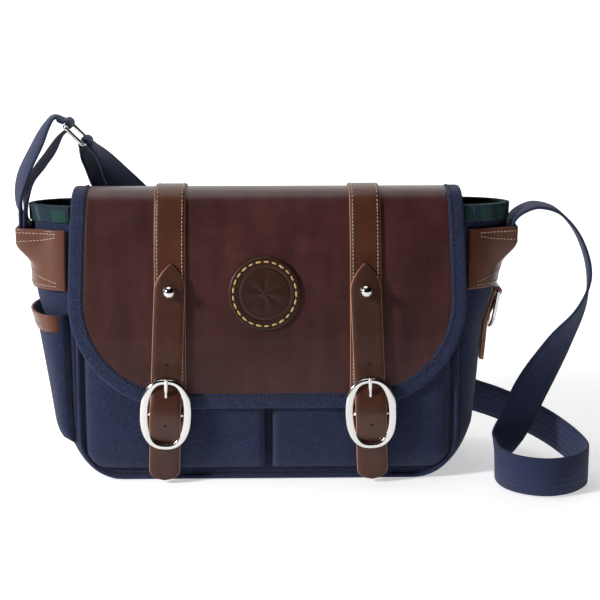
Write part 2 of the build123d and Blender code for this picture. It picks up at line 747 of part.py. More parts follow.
# The left gusset's webbing: up from the patch, over the ring's upper bar and back down beside itself.
ANCHOR_RISE = [
    (-242.2, 0, 238, 0, -1, 0),
    (-242.4, 0, 252, 0.05, -1, 0),
    (-245.0, 12, 272, 0.3, -1, 0.1),
    (-243.0, 32, 294, 0.5, -1, 0.2),
    (-234.0, 53, 317, 0.5, -1, 0.2),
    (-225.5, 67, 336, 0.3, -1, 0.1),
    (-217.5, 72, 344, 0.1, -1, 0),
]
ANCHOR_FALL = [
    (-213.0, 70, 324, 0.2, -1, 0.1),
    (-222.5, 56, 308, 0.45, -1, 0.2),
    (-231.5, 41, 294, 0.45, -1, 0.2),
    (-237.5, 26, 281, 0.35, -1, 0.2),
    (-238.6, 12, 267, 0.2, -1, 0.1),
    (-238.4, 0, 253, 0.05, -1, 0),
    (-238.2, 0, 240, 0, -1, 0),
]


def shoulder_strap():
    turn = wrap(RING_BOTTOM, 180, -15, 7)
    return ribbon(STRAP_ROUTE + turn + RETURN_ROUTE, 4)


def strap_anchor():
    return ribbon(ANCHOR_RISE + wrap(RING_TOP, 130, -60, 7) + ANCHOR_FALL, 3)


def strap_ring():
    """A rectangular wire ring with round corners and two long bars along Y."""
    reach = Vector(0, RING_LENGTH / 2, 0)
    corners = [RING_TOP - reach, RING_TOP + reach, RING_BOTTOM + reach, RING_BOTTOM - reach]
    path = FilletPolyline(*corners, radius=RING_CORNER, close=True)
    section = Plane(origin=path @ 0, z_dir=path % 0) * Circle(WIRE_RADIUS)
    return sweep(section, path=path)


def strap_slider():
    """A three-bar slide, tilted so that each webbing layer passes through its own slot."""
    along = Vector(-2, 0, 1).normalized()
    wide = Vector(1, 0, 2).normalized()
    centre = Vector(0, STRAP_BACK_Y - LAYER_SPACING / 2, SLIDER_Z)
    half = WEBBING_WIDTH / 2 + 2 * SLIDER_BAR_RADIUS
    rise = LAYER_SPACING / 2 + WEBBING_THICKNESS / 2 + SLIDER_BAR_RADIUS + 2 * GAP
    outer = along * SLIDER_REACH + Vector(0, rise, 0)
    slider = None
    for step in (outer, Vector(0, 0, 0), outer * -1):
        start = centre + step - wide * half
        bar = extrude(Plane(origin=start, z_dir=wide) * Circle(SLIDER_BAR_RADIUS), 2 * half)
        slider = bar if slider is None else slider + bar
    for end in (-half, half):
        start = centre - outer + wide * end
        slider += extrude(Plane(origin=start, z_dir=outer) * Circle(SLIDER_BAR_RADIUS), 2 * outer.length)
        for step in (outer, outer * -1):
            slider += Pos(*(centre + step + wide * end)) * Sphere(SLIDER_BAR_RADIUS + 0.1)
    return slider


def tab_face(z, distance):
    """A distance out from the fold of the right gusset at height z."""
    return HALF_WIDTH + interpolate(RIGHT_FOLD, z) + distance


def d_ring_x():
    return tab_face(TAB_FOLD_Z, TAB_LEATHER + WIRE_RADIUS + 2 * GAP + 0.2)


def ring_tab():
    """A leather strip folded over the D-ring's bar and sewn down the right gusset."""
    half = TAB_WIDTH / 2
    x, inner = d_ring_x(), WIRE_RADIUS + GAP
    rim = inner + TAB_LEATHER
    levels = [TAB_BOTTOM, 120, 132, 146, 158]
    middle = GAP + TAB_LEATHER / 2
    legs = [[(tab_face(z, middle), z) for z in levels] + [(x - rim + TAB_LEATHER / 2, TAB_FOLD_Z)]]
    middle += TAB_LEATHER
    legs.append([(tab_face(z, middle), z) for z in levels] + [(x + rim - TAB_LEATHER / 2, TAB_FOLD_Z)])
    tab = tube_y(x, TAB_FOLD_Z, rim, -half, half)
    for leg in legs:
        outline = offset_path(leg, TAB_LEATHER / 2) + offset_path(leg, -TAB_LEATHER / 2)[::-1]
        tab += extrude(polygon_face([(px, -half, pz) for px, pz in outline]), TAB_WIDTH, dir=(0, 1, 0))
    return tab - tube_y(x, TAB_FOLD_Z, inner, -half - 1, half + 1)


def d_ring():
    """A wire D: a straight bar along Y in the tab's fold and a round bow below it."""
    radius = D_WIDTH / 2
    leg = D_HEIGHT - 2 * WIRE_RADIUS - radius
    bow = Pos(0, 0, -leg) * Rot(0, 90, 0) * Torus(radius, WIRE_RADIUS)
    ring = bow & box(-5, 5, -radius - 5, radius + 5, -leg - radius - 5, -leg)
    ring += tube_y(0, 0, WIRE_RADIUS, -radius, radius)
    for y in (-radius, radius):
        ring += Pos(0, y, -leg / 2) * Cylinder(WIRE_RADIUS, leg)
        ring += Pos(0, y, 0) * Sphere(WIRE_RADIUS + 0.1)
    return Pos(d_ring_x(), 0, TAB_FOLD_Z) * Rot(0, D_TILT, 0) * ring


parts = {}


def build():
    band = gusset_band()
    parts["front_panel"] = front_panel()
    parts["back_panel"] = to_back(front_panel())
    parts["front_piping"] = front_piping()
    parts["back_piping"] = to_back(front_piping())
    parts["bottom_panel"] = bottom_panel(band)
    parts["lining"] = lining()
    parts["rim_facing"] = rim_facing()
    parts["base_board"] = base_board()
    parts["inner_pocket"] = inner_pocket()
    parts["side_pocket"] = side_pocket()
    parts["side_pocket_trim"] = side_pocket_trim()
    parts["flap_panel"] = flap_panel()
    parts["flap_lining"] = flap_lining()
    parts["flap_binding"] = flap_binding()
    parts["medallion"] = medallion()
    parts["strap_ring"] = strap_ring()
    parts["strap_anchor"] = strap_anchor()
    parts["shoulder_strap"] = shoulder_strap()
    parts["strap_slider"] = strap_slider()
    parts["ring_tab"] = ring_tab()
    parts["d_ring"] = d_ring()
    half = FLAP_TOP_WIDTH / 2
    parts["flap_back_strip"] = back_strip(0, FLAP_THICKNESS, -half, half, HINGE_GAP)
    for name, side in SIDES:
        parts[name + "_gusset"] = gusset(band, side)
        parts[name + "_gusset_patch"] = gusset_patch(side)
        parts[name + "_front_pocket"] = front_pocket(side)
        parts[name + "_flap_strap"] = flap_strap(side)
        parts[name + "_back_strap"] = back_strap(side)
        parts[name + "_closure_tip"] = placed(closure_tip(), side)
        parts[name + "_stud"] = stud(side)
        parts[name + "_stud_screw"] = stud_screw(side)
        parts[name + "_closure_strap"] = placed(closure_strap(), side)
        parts[name + "_buckle"] = placed(buckle_frame(), side)
        parts[name + "_chape"] = placed(chape(), side)
        parts[name + "_prong"] = placed(prong(), side)
        parts[name + "_buckle_patch"] = buckle_patch(side)


build()
os.makedirs("parts", exist_ok=True)
for part_name, shape in parts.items():
    export_step(shape, f"parts/{part_name}.step")
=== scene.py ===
import math

import bmesh
import bpy
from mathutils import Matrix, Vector, noise


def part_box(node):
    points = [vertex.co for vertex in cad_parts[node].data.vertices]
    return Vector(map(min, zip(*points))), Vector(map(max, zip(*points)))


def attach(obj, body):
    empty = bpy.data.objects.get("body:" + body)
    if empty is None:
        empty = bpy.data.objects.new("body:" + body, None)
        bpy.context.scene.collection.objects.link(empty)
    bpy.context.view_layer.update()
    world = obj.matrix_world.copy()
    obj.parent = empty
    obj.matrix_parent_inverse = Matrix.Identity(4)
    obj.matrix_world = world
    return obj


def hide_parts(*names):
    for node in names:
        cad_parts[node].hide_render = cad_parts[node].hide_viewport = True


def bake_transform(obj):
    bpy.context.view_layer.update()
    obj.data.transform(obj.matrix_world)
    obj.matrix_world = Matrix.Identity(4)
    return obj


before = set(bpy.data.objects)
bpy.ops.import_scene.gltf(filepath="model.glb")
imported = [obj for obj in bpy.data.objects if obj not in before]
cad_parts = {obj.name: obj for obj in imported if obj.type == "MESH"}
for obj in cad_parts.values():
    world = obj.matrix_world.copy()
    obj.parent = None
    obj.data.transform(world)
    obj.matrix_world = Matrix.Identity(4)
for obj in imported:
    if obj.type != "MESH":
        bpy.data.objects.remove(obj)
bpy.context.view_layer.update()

MM = 0.001

# ---- Sizes, in metres, taken from the frame where the frame holds them

PANEL_LOW, PANEL_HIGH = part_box("front_panel")
HALF_WIDTH = PANEL_HIGH.x
MOUTH_Z = PANEL_HIGH.z
HALF_DEPTH = -PANEL_LOW.y
HALF_MOUTH = 28 * MM
CORNER = 44 * MM
STRAIGHT = 60 * MM
CANVAS = 2 * MM
RIGHT_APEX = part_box("right_gusset")[1].x - HALF_WIDTH
LEFT_APEX = -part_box("left_gusset")[0].x - HALF_WIDTH
# (height, how far a gusset's middle stands out past the panels)
LEFT_FOLD = [(0, 0), (0.046, 0.017), (0.096, 0.025), (0.15, 0.034), (0.175, 0.042), (0.19, 0.045),
             (0.268, LEFT_APEX)]
RIGHT_FOLD = [(0, 0), (0.05, 0.021), (0.1, 0.0245), (0.146, 0.028), (0.188, 0.04), (0.236, 0.051),
              (0.268, RIGHT_APEX)]

FLAP_LOW, FLAP_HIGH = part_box("flap_binding")
HALF_FLAP = FLAP_HIGH.x
HALF_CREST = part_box("flap_back_strip")[1].x
FLAP_BOTTOM = FLAP_LOW.z
FLAP_CORNER = 105 * MM
FLAP_THICK = 3.2 * MM
CREST_Z = 280 * MM
BINDING = 15 * MM
HINGE_Z = 268 * MM
STRIP_HEIGHT = 44 * MM
POCKET_ROOM = 9 * MM
POCKET_WALL = 1.5 * MM

STRAP_X = 94.5 * MM
STRAP_HALF = 15 * MM
STRAP_THICK = 2.4 * MM
CLOSURE_THICK = 3 * MM
STRAP_NEAR = FLAP_THICK + 0.2 * MM
CLOSURE_NEAR = STRAP_NEAR + STRAP_THICK + 0.3 * MM
LEAN = math.radians(2.4)
STUD_Z = 192 * MM
TIP_TOP = 217 * MM
BUCKLE_Z = 73 * MM
BUCKLE_Y = sum(corner.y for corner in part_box("left_buckle")) / 2
WEBBING = 38 * MM
WEB_THICK = 2.8 * MM
WRAP_RADIUS = 4.4 * MM
ROW_PITCH = 3.5 * MM
RING_TOP = Vector((-0.2045, 0.073, 0.337))
RING_BOTTOM = Vector((-0.186, 0.073, 0.3185))
SIDES = (("left", -1), ("right", 1))


# ---- Node trees

class Link:
    """A node socket with arithmetic: an expression on links adds its Math nodes."""

    def __init__(self, tree, socket):
        self.tree = tree
        self.socket = socket

    def other(self, name):
        """Another output of the same node."""
        return Link(self.tree, self.socket.node.outputs[name])

    def math(self, kind, *values):
        return self.tree.add("ShaderNodeMath", {"operation": kind}, *values)

    def __add__(self, other):
        return self.math("ADD", self, other)

    def __sub__(self, other):
        return self.math("SUBTRACT", self, other)

    def __rsub__(self, other):
        return self.math("SUBTRACT", other, self)

    def __mul__(self, other):
        return self.math("MULTIPLY", self, other)

    def __gt__(self, other):
        return self.math("GREATER_THAN", self, other)

    __radd__ = __add__
    __rmul__ = __mul__

    def contrast(self, gain):
        """This value, near a half, pushed away from it."""
        return (self - 0.5) * gain + 0.5

    def sine(self):
        return self.math("SINE", self)

    def within(self, low, high):
        """This value taken from 0..1 to low..high."""
        return self * (high - low) + low


class Tree:
    """A node tree, with one method that adds any node: its type, its settings, then its sockets."""

    def __init__(self, tree):
        self.nodes = tree.nodes
        self.links = tree.links

    def add(self, kind, settings=None, *values, output=0, **named):
        node = self.nodes.new(kind)
        for key, value in (settings or {}).items():
            setattr(node, key, value)
        for socket, value in zip(node.inputs, values):
            self.put(socket, value)
        self.fill(node, named)
        return Link(self, node.outputs[output]) if node.outputs else None

    def fill(self, node, named):
        """Set inputs by label, or by identifier where labels repeat."""
        for key, value in named.items():
            self.put(next(s for s in node.inputs if key in (s.identifier, s.name.replace(" ", "_"))), value)

    def put(self, socket, value):
        if isinstance(value, Link):
            self.links.new(value.socket, socket)
        else:
            socket.default_value = value


class Finish(Tree):
    """A material's node tree."""

    def __init__(self, name):
        self.material = bpy.data.materials.new(name)
        self.material.use_nodes = True
        super().__init__(self.material.node_tree)

    def surface(self, **named):
        self.fill(self.nodes["Principled BSDF"], named)

    def place(self, kind="Object", scale=(1, 1, 1)):
        spot = self.add("ShaderNodeTexCoord", output=kind)
        return self.add("ShaderNodeMapping", None, Vector=spot, Scale=scale)

    def grain(self, scale, detail=3.0, stretch=(1, 1, 1)):
        spot = self.place("Object", stretch)
        return self.add("ShaderNodeTexNoise", None, Vector=spot, Scale=scale, Detail=detail)

    def blend(self, share, first, second):
        """A colour between two, each a link or three numbers."""
        a, b = (color if isinstance(color, Link) else (*color, 1) for color in (first, second))
        return self.add("ShaderNodeMix", {"data_type": "RGBA"}, share, output=2, A_Color=a, B_Color=b)

    def raise_by(self, height, distance, strength=1.0, under=None):
        bump = {"Normal": under} if under else {}
        return self.add("ShaderNodeBump", None, Height=height, Distance=distance, Strength=strength, **bump)


def uv_parts(finish):
    """The piece's own UV map, which is in metres, as two numbers."""
    across = finish.add("ShaderNodeSeparateXYZ", None, finish.place("UV"))
    return across, across.other("Y")


def canvas(name, dark, light, pitch=1.7 * MM):
    """Twill-woven cotton: a diagonal rib, uneven yarn and slightly rubbed high spots."""
    f = Finish(name)
    u, v = uv_parts(f)
    turn = 2 * math.pi / pitch
    slub = f.grain(900, 2)
    rib = ((u + v) * turn + slub * 3.0).sine().within(0.5, 1.0)
    cross = ((u - v * 0.55) * (turn * 1.7)).sine().within(0.5, 1.0)
    weave = rib * 0.7 + cross * 0.3
    cloud = f.grain(14, 5)
    rubbed = f.grain(160, 4)
    fleck = f.grain(620, 2)
    color = f.blend(weave * 0.5 + fleck.contrast(3.5) * 0.5, dark, light)
    color = f.blend(cloud * 0.35, color, [c * 0.55 for c in dark])
    color = f.blend((rubbed - 0.52) * 0.5, color, [min(1, c * 2.0) for c in light])
    bump = f.raise_by(weave + fleck * 1.5, 0.4 * MM, 1.0)
    bump = f.raise_by(cloud, 2.5 * MM, 0.35, bump)
    f.surface(Base_Color=color, Roughness=rubbed.within(0.82, 0.95), Normal=bump)
    f.surface(Sheen_Weight=0.12, Sheen_Roughness=0.5, Specular_IOR_Level=0.25)
    return f.material


def webbing_cloth():
    """Flat cotton webbing: a herringbone of fine ribs along its length, with firmer edges."""
    f = Finish("navy_webbing")
    u, v = uv_parts(f)
    slub = f.grain(700, 2)
    column = (u * (2 * math.pi / (6.3 * MM))).sine()
    zigzag = f.add("ShaderNodeMath", {"operation": "PINGPONG"}, u, 3.2 * MM)
    rib = ((zigzag * 1.2 + v) * (2 * math.pi / (1.5 * MM)) + slub * 2.0).sine().within(0.5, 1.0)
    cloud = f.grain(18, 4)
    color = f.blend(rib, (0.012, 0.018, 0.052), (0.034, 0.050, 0.135))
    color = f.blend(cloud * 0.35, color, (0.008, 0.010, 0.025))
    bump = f.raise_by(rib + slub * 0.5, 0.3 * MM, 0.8)
    bump = f.raise_by(column, 0.15 * MM, 0.4, bump)
    f.surface(Base_Color=color, Roughness=cloud.within(0.8, 0.95), Normal=bump)
    f.surface(Sheen_Weight=0.12, Sheen_Roughness=0.5, Specular_IOR_Level=0.25)
    return f.material


def leather(name, deep, warm, rough=(0.34, 0.5), coat=0.12, pull=(1, 1, 1), wear=0.25):
    """Smooth bridle leather: clouded dye, fine pores, faint creases and a waxed surface."""
    f = Finish(name)
    cloud = f.grain(9, 6, stretch=pull)
    mottle = f.grain(75, 5)
    pores = f.add("ShaderNodeTexVoronoi", {"feature": "DISTANCE_TO_EDGE"}, Vector=f.place(), Scale=950)
    scuff = f.grain(48, 6, stretch=(0.25, 1, 1))
    streak = f.grain(34, 6, stretch=(1.6, 1, 0.22))
    color = f.blend(cloud.contrast(2.2) * 0.6 + streak.contrast(2.6) * 0.4, deep, warm)
    color = f.blend(mottle.contrast(2.0) * 0.35, color, [c * 0.55 for c in deep])
    color = f.blend((scuff - 0.5) * wear, color, [min(1, c * 1.9) for c in warm])
    bump = f.raise_by(pores, 0.12 * MM, 0.35)
    bump = f.raise_by(mottle, 0.5 * MM, 0.22, bump)
    bump = f.raise_by(cloud, 3 * MM, 0.25, bump)
    f.surface(Base_Color=color, Roughness=(mottle * 0.5 + scuff * 0.5).within(*rough), Normal=bump)
    f.surface(Coat_Weight=coat, Coat_Roughness=0.3, Specular_IOR_Level=0.32)
    return f.material


def flecked(name, dark, light, scale, detail, rough, bump, sheen=0.0, stretch=(1, 1, 1)):
    """A rough surface in two tones, raised where it is light: cut leather, thread and board."""
    f = Finish(name)
    fleck = f.grain(scale, detail, stretch)
    f.surface(Base_Color=f.blend(fleck, dark, light), Roughness=rough, Sheen_Weight=sheen)
    f.surface(Normal=f.raise_by(fleck, bump, 0.5))
    return f.material


def thread(name, color):
    return flecked(name, [c * 0.72 for c in color], color, 1500, 3, 0.6, 0.2 * MM, 0.2)


def metal(name, color, rough=(0.1, 0.22)):
    """Polished nickel plate with faint handling marks."""
    f = Finish(name)
    smear = f.grain(60, 4)
    scratch = f.grain(380, 5, stretch=(1, 1, 0.12))
    tint = f.blend(smear * 0.4, color, [c * 0.78 for c in color])
    f.surface(Base_Color=tint, Metallic=1.0, Roughness=(smear * 0.6 + scratch * 0.4).within(*rough))
    f.surface(Normal=f.raise_by(scratch, 0.05 * MM, 0.2))
    return f.material


def check_cloth():
    """Dark green cotton with a navy check and a thin pale line."""
    f = Finish("check_cotton")
    x = f.add("ShaderNodeSeparateXYZ", None, f.place())
    slub = f.grain(800, 2)
    turn = 2 * math.pi / (22 * MM)
    side = x + x.other("Y") * 0.8
    bar = (side * turn).sine() > 0.1
    band = (x.other("Z") * turn).sine() > 0.1
    color = f.blend(bar * 0.75, (0.010, 0.050, 0.045), (0.006, 0.012, 0.035))
    color = f.blend(band * 0.6, color, (0.005, 0.018, 0.035))
    line = (side * turn + 0.9).sine() > 0.985
    color = f.blend(line * 0.35, color, (0.09, 0.13, 0.10))
    f.surface(Base_Color=color, Roughness=0.92, Normal=f.raise_by(slub, 0.3 * MM, 0.6))
    return f.material


def plain(name, color, glow=0.0):
    f = Finish(name)
    tone = f.grain(3, 2)
    f.surface(Base_Color=f.blend(tone, color, [c * 0.97 for c in color]), Roughness=0.8)
    f.surface(Emission_Color=(1, 1, 1, 1), Emission_Strength=glow)
    return f.material


NAVY = canvas("navy_canvas", (0.006, 0.009, 0.030), (0.034, 0.047, 0.125))
NAVY_EDGE = canvas("navy_canvas_binding", (0.007, 0.010, 0.034), (0.040, 0.055, 0.140))
NAVY_LINING = canvas("navy_lining", (0.010, 0.013, 0.03), (0.02, 0.026, 0.06), 0.6 * MM)
WEB = webbing_cloth()
FLAP_HIDE = leather("flap_hide", (0.026, 0.0075, 0.0075), (0.112, 0.034, 0.031), (0.34, 0.52), 0.08)
STRAP_HIDE = leather("strap_hide", (0.060, 0.017, 0.009), (0.125, 0.038, 0.017), (0.36, 0.52), 0.08)
CLOSURE_HIDE = leather("closure_hide", (0.044, 0.014, 0.0095), (0.100, 0.034, 0.020), (0.34, 0.5), 0.08)
PATCH_HIDE = leather("patch_hide", (0.085, 0.025, 0.014), (0.17, 0.055, 0.028), (0.3, 0.45), 0.2)
BADGE_HIDE = leather("badge_hide", (0.026, 0.008, 0.005), (0.055, 0.017, 0.009), (0.38, 0.55), 0.08)
EDGE = flecked("leather_edge", (0.30, 0.12, 0.07), (0.52, 0.26, 0.16), 420, 4, 0.75, 0.2 * MM,
               stretch=(1, 1, 0.3))
NICKEL = metal("nickel", (0.78, 0.77, 0.75), (0.08, 0.2))
STEEL = metal("plain_steel", (0.5, 0.49, 0.47), (0.3, 0.45))
CREAM = thread("cream_thread", (0.62, 0.50, 0.36))
GOLD = thread("gold_thread", (0.70, 0.49, 0.16))
NAVY_THREAD = thread("navy_thread", (0.003, 0.004, 0.010))
# Painted shade: a near-black colour laid where the punched holes and the stud slit are, for the shadow inside
# them.
HOLE_SHADE = plain("punched_hole", (0.006, 0.004, 0.004))
CHECK = check_cloth()
BOARD = flecked("fibre_board", (0.16, 0.11, 0.07), (0.30, 0.22, 0.14), 300, 5, 0.85, 0.3 * MM)


# ---- Mesh building

def make(name, verts, faces, uvs, materials, slots):
    """A smooth mesh piece. uvs holds each face's corners, and slots each face's material."""
    mesh = bpy.data.meshes.new(name)
    mesh.from_pydata([tuple(v) for v in verts], [], faces)
    layer = mesh.uv_layers.new(name="UVMap")
    layer.data.foreach_set("uv", [value for face in uvs for pair in face for value in pair])
    for material in materials:
        mesh.materials.append(material)
    mesh.polygons.foreach_set("material_index", slots)
    mesh.polygons.foreach_set("use_smooth", [True] * len(mesh.polygons))
    obj = bpy.data.objects.new(name, mesh)
    bpy.context.collection.objects.link(obj)
    work = bmesh.new()
    work.from_mesh(mesh)
    bmesh.ops.remove_doubles(work, verts=work.verts, dist=1e-6)
    bmesh.ops.recalc_face_normals(work, faces=work.faces)
    work.to_mesh(mesh)
    work.free()
    return obj


def circle(count):
    """Evenly spaced angles of a full turn, as (cosine, sine) pairs."""
    return [(math.cos(2 * math.pi * k / count), math.sin(2 * math.pi * k / count)) for k in range(count)]


def loft(name, rings, materials, slots=None, closed=False):
    """Skin closed rings of points. slots gives the material of each ring segment; closed joins the ends."""
    count = len(rings[0])
    slots = slots or [0] * count
    verts = [point for ring in rings for point in ring]
    middle = rings[len(rings) // 2]
    around = [0.0]
    for a, b in zip(middle, middle[1:] + middle[:1]):
        around.append(around[-1] + (b - a).length)
    along = [0.0]
    for low, high in zip(rings, rings[1:] + rings[:1]):
        along.append(along[-1] + sum((b - a).length for a, b in zip(low, high)) / count)
    faces, uvs, face_slots = [], [], []
    for i in range(len(rings) if closed else len(rings) - 1):
        j = (i + 1) % len(rings)
        for k in range(count):
            m = (k + 1) % count
            faces.append((i * count + k, i * count + m, j * count + m, j * count + k))
            corners = ((k, i), (k + 1, i), (k + 1, i + 1), (k, i + 1))
            uvs.append([(around[a], along[b]) for a, b in corners])
            face_slots.append(slots[k])
    for ring_index in () if closed else (0, len(rings) - 1):
        start = ring_index * count
        faces.append(tuple(range(start, start + count)))
        uvs.append([(p.x, p.y + p.z) for p in rings[ring_index]])
        face_slots.append(max(slots))
    return make(name, verts, faces, uvs, materials, face_slots)


def band_section(half, thick, crown=0.0, bevel=0.5 * MM, steps=6):
    """A strip's cross-section as (across, up, slot): flat below, slightly crowned above, cut edges."""
    points = [(-half + bevel, 0.0), (half - bevel, 0.0), (half, bevel), (half, thick - bevel)]
    slots = [0, 1, 1, 1]
    inner = half - bevel
    for i in range(steps + 1):
        x = inner - 2 * inner * i / steps
        points.append((x, thick + crown * (1 - (x / half) ** 2)))
        slots.append(0)
    slots[-1] = 1
    points += [(-half, thick - bevel), (-half, bevel)]
    slots += [1, 1]
    return points, slots


def band(name, stations, thick, materials, crown=0.0):
    """A strip through stations of (underside middle, width direction, outward direction, half width)."""
    rings = []
    for middle, wide, out, half in stations:
        section, slots = band_section(half, thick, crown)
        rings.append([middle + wide * x + out * h for x, h in section])
    return loft(name, rings, materials, slots)


def looped(name, path, axis, place, wide, half, thick, hide):
    """A leather strip that goes up, round a bar and back, through (along the axis, height) points."""
    stations = []
    for i, (a, z) in enumerate(path):
        (a0, z0), (a1, z1) = path[max(i - 1, 0)], path[min(i + 1, len(path) - 1)]
        out = (axis * (z1 - z0) + Vector((0, 0, a0 - a1))).normalized()
        stations.append((place(a, z), wide, out, half))
    return band(name, stations, thick, [hide, EDGE])


def tube(name, points, radius, material, closed=False, sides=14):
    """A round wire or cord of cloth through points."""
    rings = []
    count = len(points)
    up = Vector((0.02, 0.05, 1)).normalized()
    for i, point in enumerate(points):
        before = points[i - 1] if closed or i else points[i]
        after = points[(i + 1) % count] if closed or i < count - 1 else points[i]
        along = (after - before).normalized()
        side = up - along * up.dot(along)
        if side.length < 0.2:
            side = Vector((1, 0.1, 0)) - along * along.x
        side.normalize()
        other = along.cross(side)
        up = side
        rings.append([point + side * (radius * c) + other * (radius * s) for c, s in circle(sides)])
    return loft(name, rings, [material], None, closed)


def lathe(name, profile, origin, axis, materials, steps=40):
    """Spin (radius, distance along the axis) points about an axis."""
    side = axis.orthogonal().normalized()
    other = axis.cross(side)
    rings = []
    for radius, distance in profile:
        rings.append([origin + axis * distance + (side * c + other * s) * radius for c, s in circle(steps)])
    return loft(name, rings, materials)


def join(name, objects):
    """Several meshes as one piece."""
    with bpy.context.temp_override(active_object=objects[0], selected_editable_objects=objects):
        bpy.ops.object.join()
    objects[0].name = name
    return objects[0]


def finish(obj, body, slot, *nodes):
    """Put a finished piece on its body and hide the CAD nodes that it stands for; the slot is not used."""
    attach(obj, body)
    return mark(obj, slot, *nodes)


def mark(obj, slot, *nodes):
    if nodes:
        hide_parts(*nodes)
    return obj


# ---- Stitches: one Geometry Nodes tree sets a thread capsule at every point

def stitch_tree():
    group = bpy.data.node_groups.new("stitch_row", "GeometryNodeTree")
    inputs = {"Geometry": "Geometry", "Stitch Length": "Float", "Thread Width": "Float", "Thread": "Material"}
    for label, kind in inputs.items():
        group.interface.new_socket(label, in_out="INPUT", socket_type="NodeSocket" + kind)
    group.interface.new_socket("Geometry", in_out="OUTPUT", socket_type="NodeSocketGeometry")
    tree = Tree(group)
    points = tree.add("NodeGroupInput")
    width = points.other("Thread Width")
    capsule = tree.add("GeometryNodeMeshUVSphere", None, Segments=8, Rings=6, Radius=0.5)
    size = tree.add("ShaderNodeCombineXYZ", None, points.other("Stitch Length"), width, width)
    stitch = tree.add("GeometryNodeTransform", None, Geometry=capsule, Scale=size)
    vector = {"data_type": "FLOAT_VECTOR"}
    run, out = (tree.add("GeometryNodeInputNamedAttribute", vector, Name=label) for label in ("run", "out"))
    align = "FunctionNodeAlignRotationToVector"
    along = tree.add(align, {"axis": "X"}, Vector=run)
    upright = tree.add(align, {"axis": "Z", "pivot_axis": "X"}, Rotation=along, Vector=out)
    uneven = tree.add("FunctionNodeRandomValue", {"data_type": "FLOAT"}, output=1, Min_001=0.9, Max_001=1.1,
                      Seed=7)
    placed = tree.add("GeometryNodeInstanceOnPoints", None, Points=points, Instance=stitch, Rotation=upright,
                      Scale=uneven)
    real = tree.add("GeometryNodeRealizeInstances", None, placed)
    painted = tree.add("GeometryNodeSetMaterial", None, Geometry=real, Material=points.other("Thread"))
    tree.add("NodeGroupOutput", None, painted)
    return group


STITCHES = stitch_tree()


def sew(name, points, material, length=2.7 * MM, width=0.95 * MM):
    """Thread capsules at (place, run direction, outward direction) points, as one mesh."""
    mesh = bpy.data.meshes.new(name)
    mesh.from_pydata([tuple(place) for place, run, out in points], [], [])
    for label, index in (("run", 1), ("out", 2)):
        values = [c for point in points for c in point[index]]
        mesh.attributes.new(label, "FLOAT_VECTOR", "POINT").data.foreach_set("vector", values)
    obj = bpy.data.objects.new(name, mesh)
    bpy.context.collection.objects.link(obj)
    row = obj.modifiers.new("row", "NODES")
    row.node_group = STITCHES
    sockets = {item.name: item.identifier for item in STITCHES.interface.items_tree if item.in_out == "INPUT"}
    row[sockets["Stitch Length"]] = length
    row[sockets["Thread Width"]] = width
    row[sockets["Thread"]] = material
    bpy.context.view_layer.update()
    made = bpy.data.meshes.new_from_object(obj.evaluated_get(bpy.context.evaluated_depsgraph_get()))
    obj.modifiers.clear()
    obj.data = made
    made.polygons.foreach_set("use_smooth", [True] * len(made.polygons))
    return obj


def seam(spot, length, pitch, start=0.0):
    """Stitch points along spot(distance), which gives (place, outward)."""
    points = []
    count = max(1, int((length - start) / pitch))
    for i in range(count):
        d = start + (i + 0.5) * pitch
        place, out = spot(d)
        ahead = spot(d + pitch * 0.2)[0]
        points.append((place, (ahead - place).normalized(), out))
    return points


# ---- The bag's shape

def between(table, z):
    """A value read from (height, value) pairs."""
    for (z0, v0), (z1, v1) in zip(table, table[1:]):
        if z <= z1:
            return v0 + (v1 - v0) * max(0.0, (z - z0) / (z1 - z0))
    return table[-1][1]


def half_depth(z):
    share = max(0.0, (z - STRAIGHT) / (MOUTH_Z - STRAIGHT))
    return HALF_DEPTH - (HALF_DEPTH - HALF_MOUTH) * share ** 1.5


def half_width(z, inset=0.0):
    rise = min(max(z, 0.0), CORNER)
    return HALF_WIDTH - CORNER + math.sqrt(max(0.0, (CORNER - inset) ** 2 - (CORNER - rise) ** 2))


def ripple(point, size, scale):
    """A gentle unevenness, the same at every run."""
    return noise.noise(point * scale) * size


def side_point(side, turn, z, out=0.0):
    """A point on a gusset: turn runs from -pi/2 at the front seam to pi/2 at the back seam."""
    fold = between(RIGHT_FOLD if side > 0 else LEFT_FOLD, z)
    x = half_width(z, -out) + fold * math.cos(turn)
    return Vector((side * x, (half_depth(z) + out) * math.sin(turn), z))


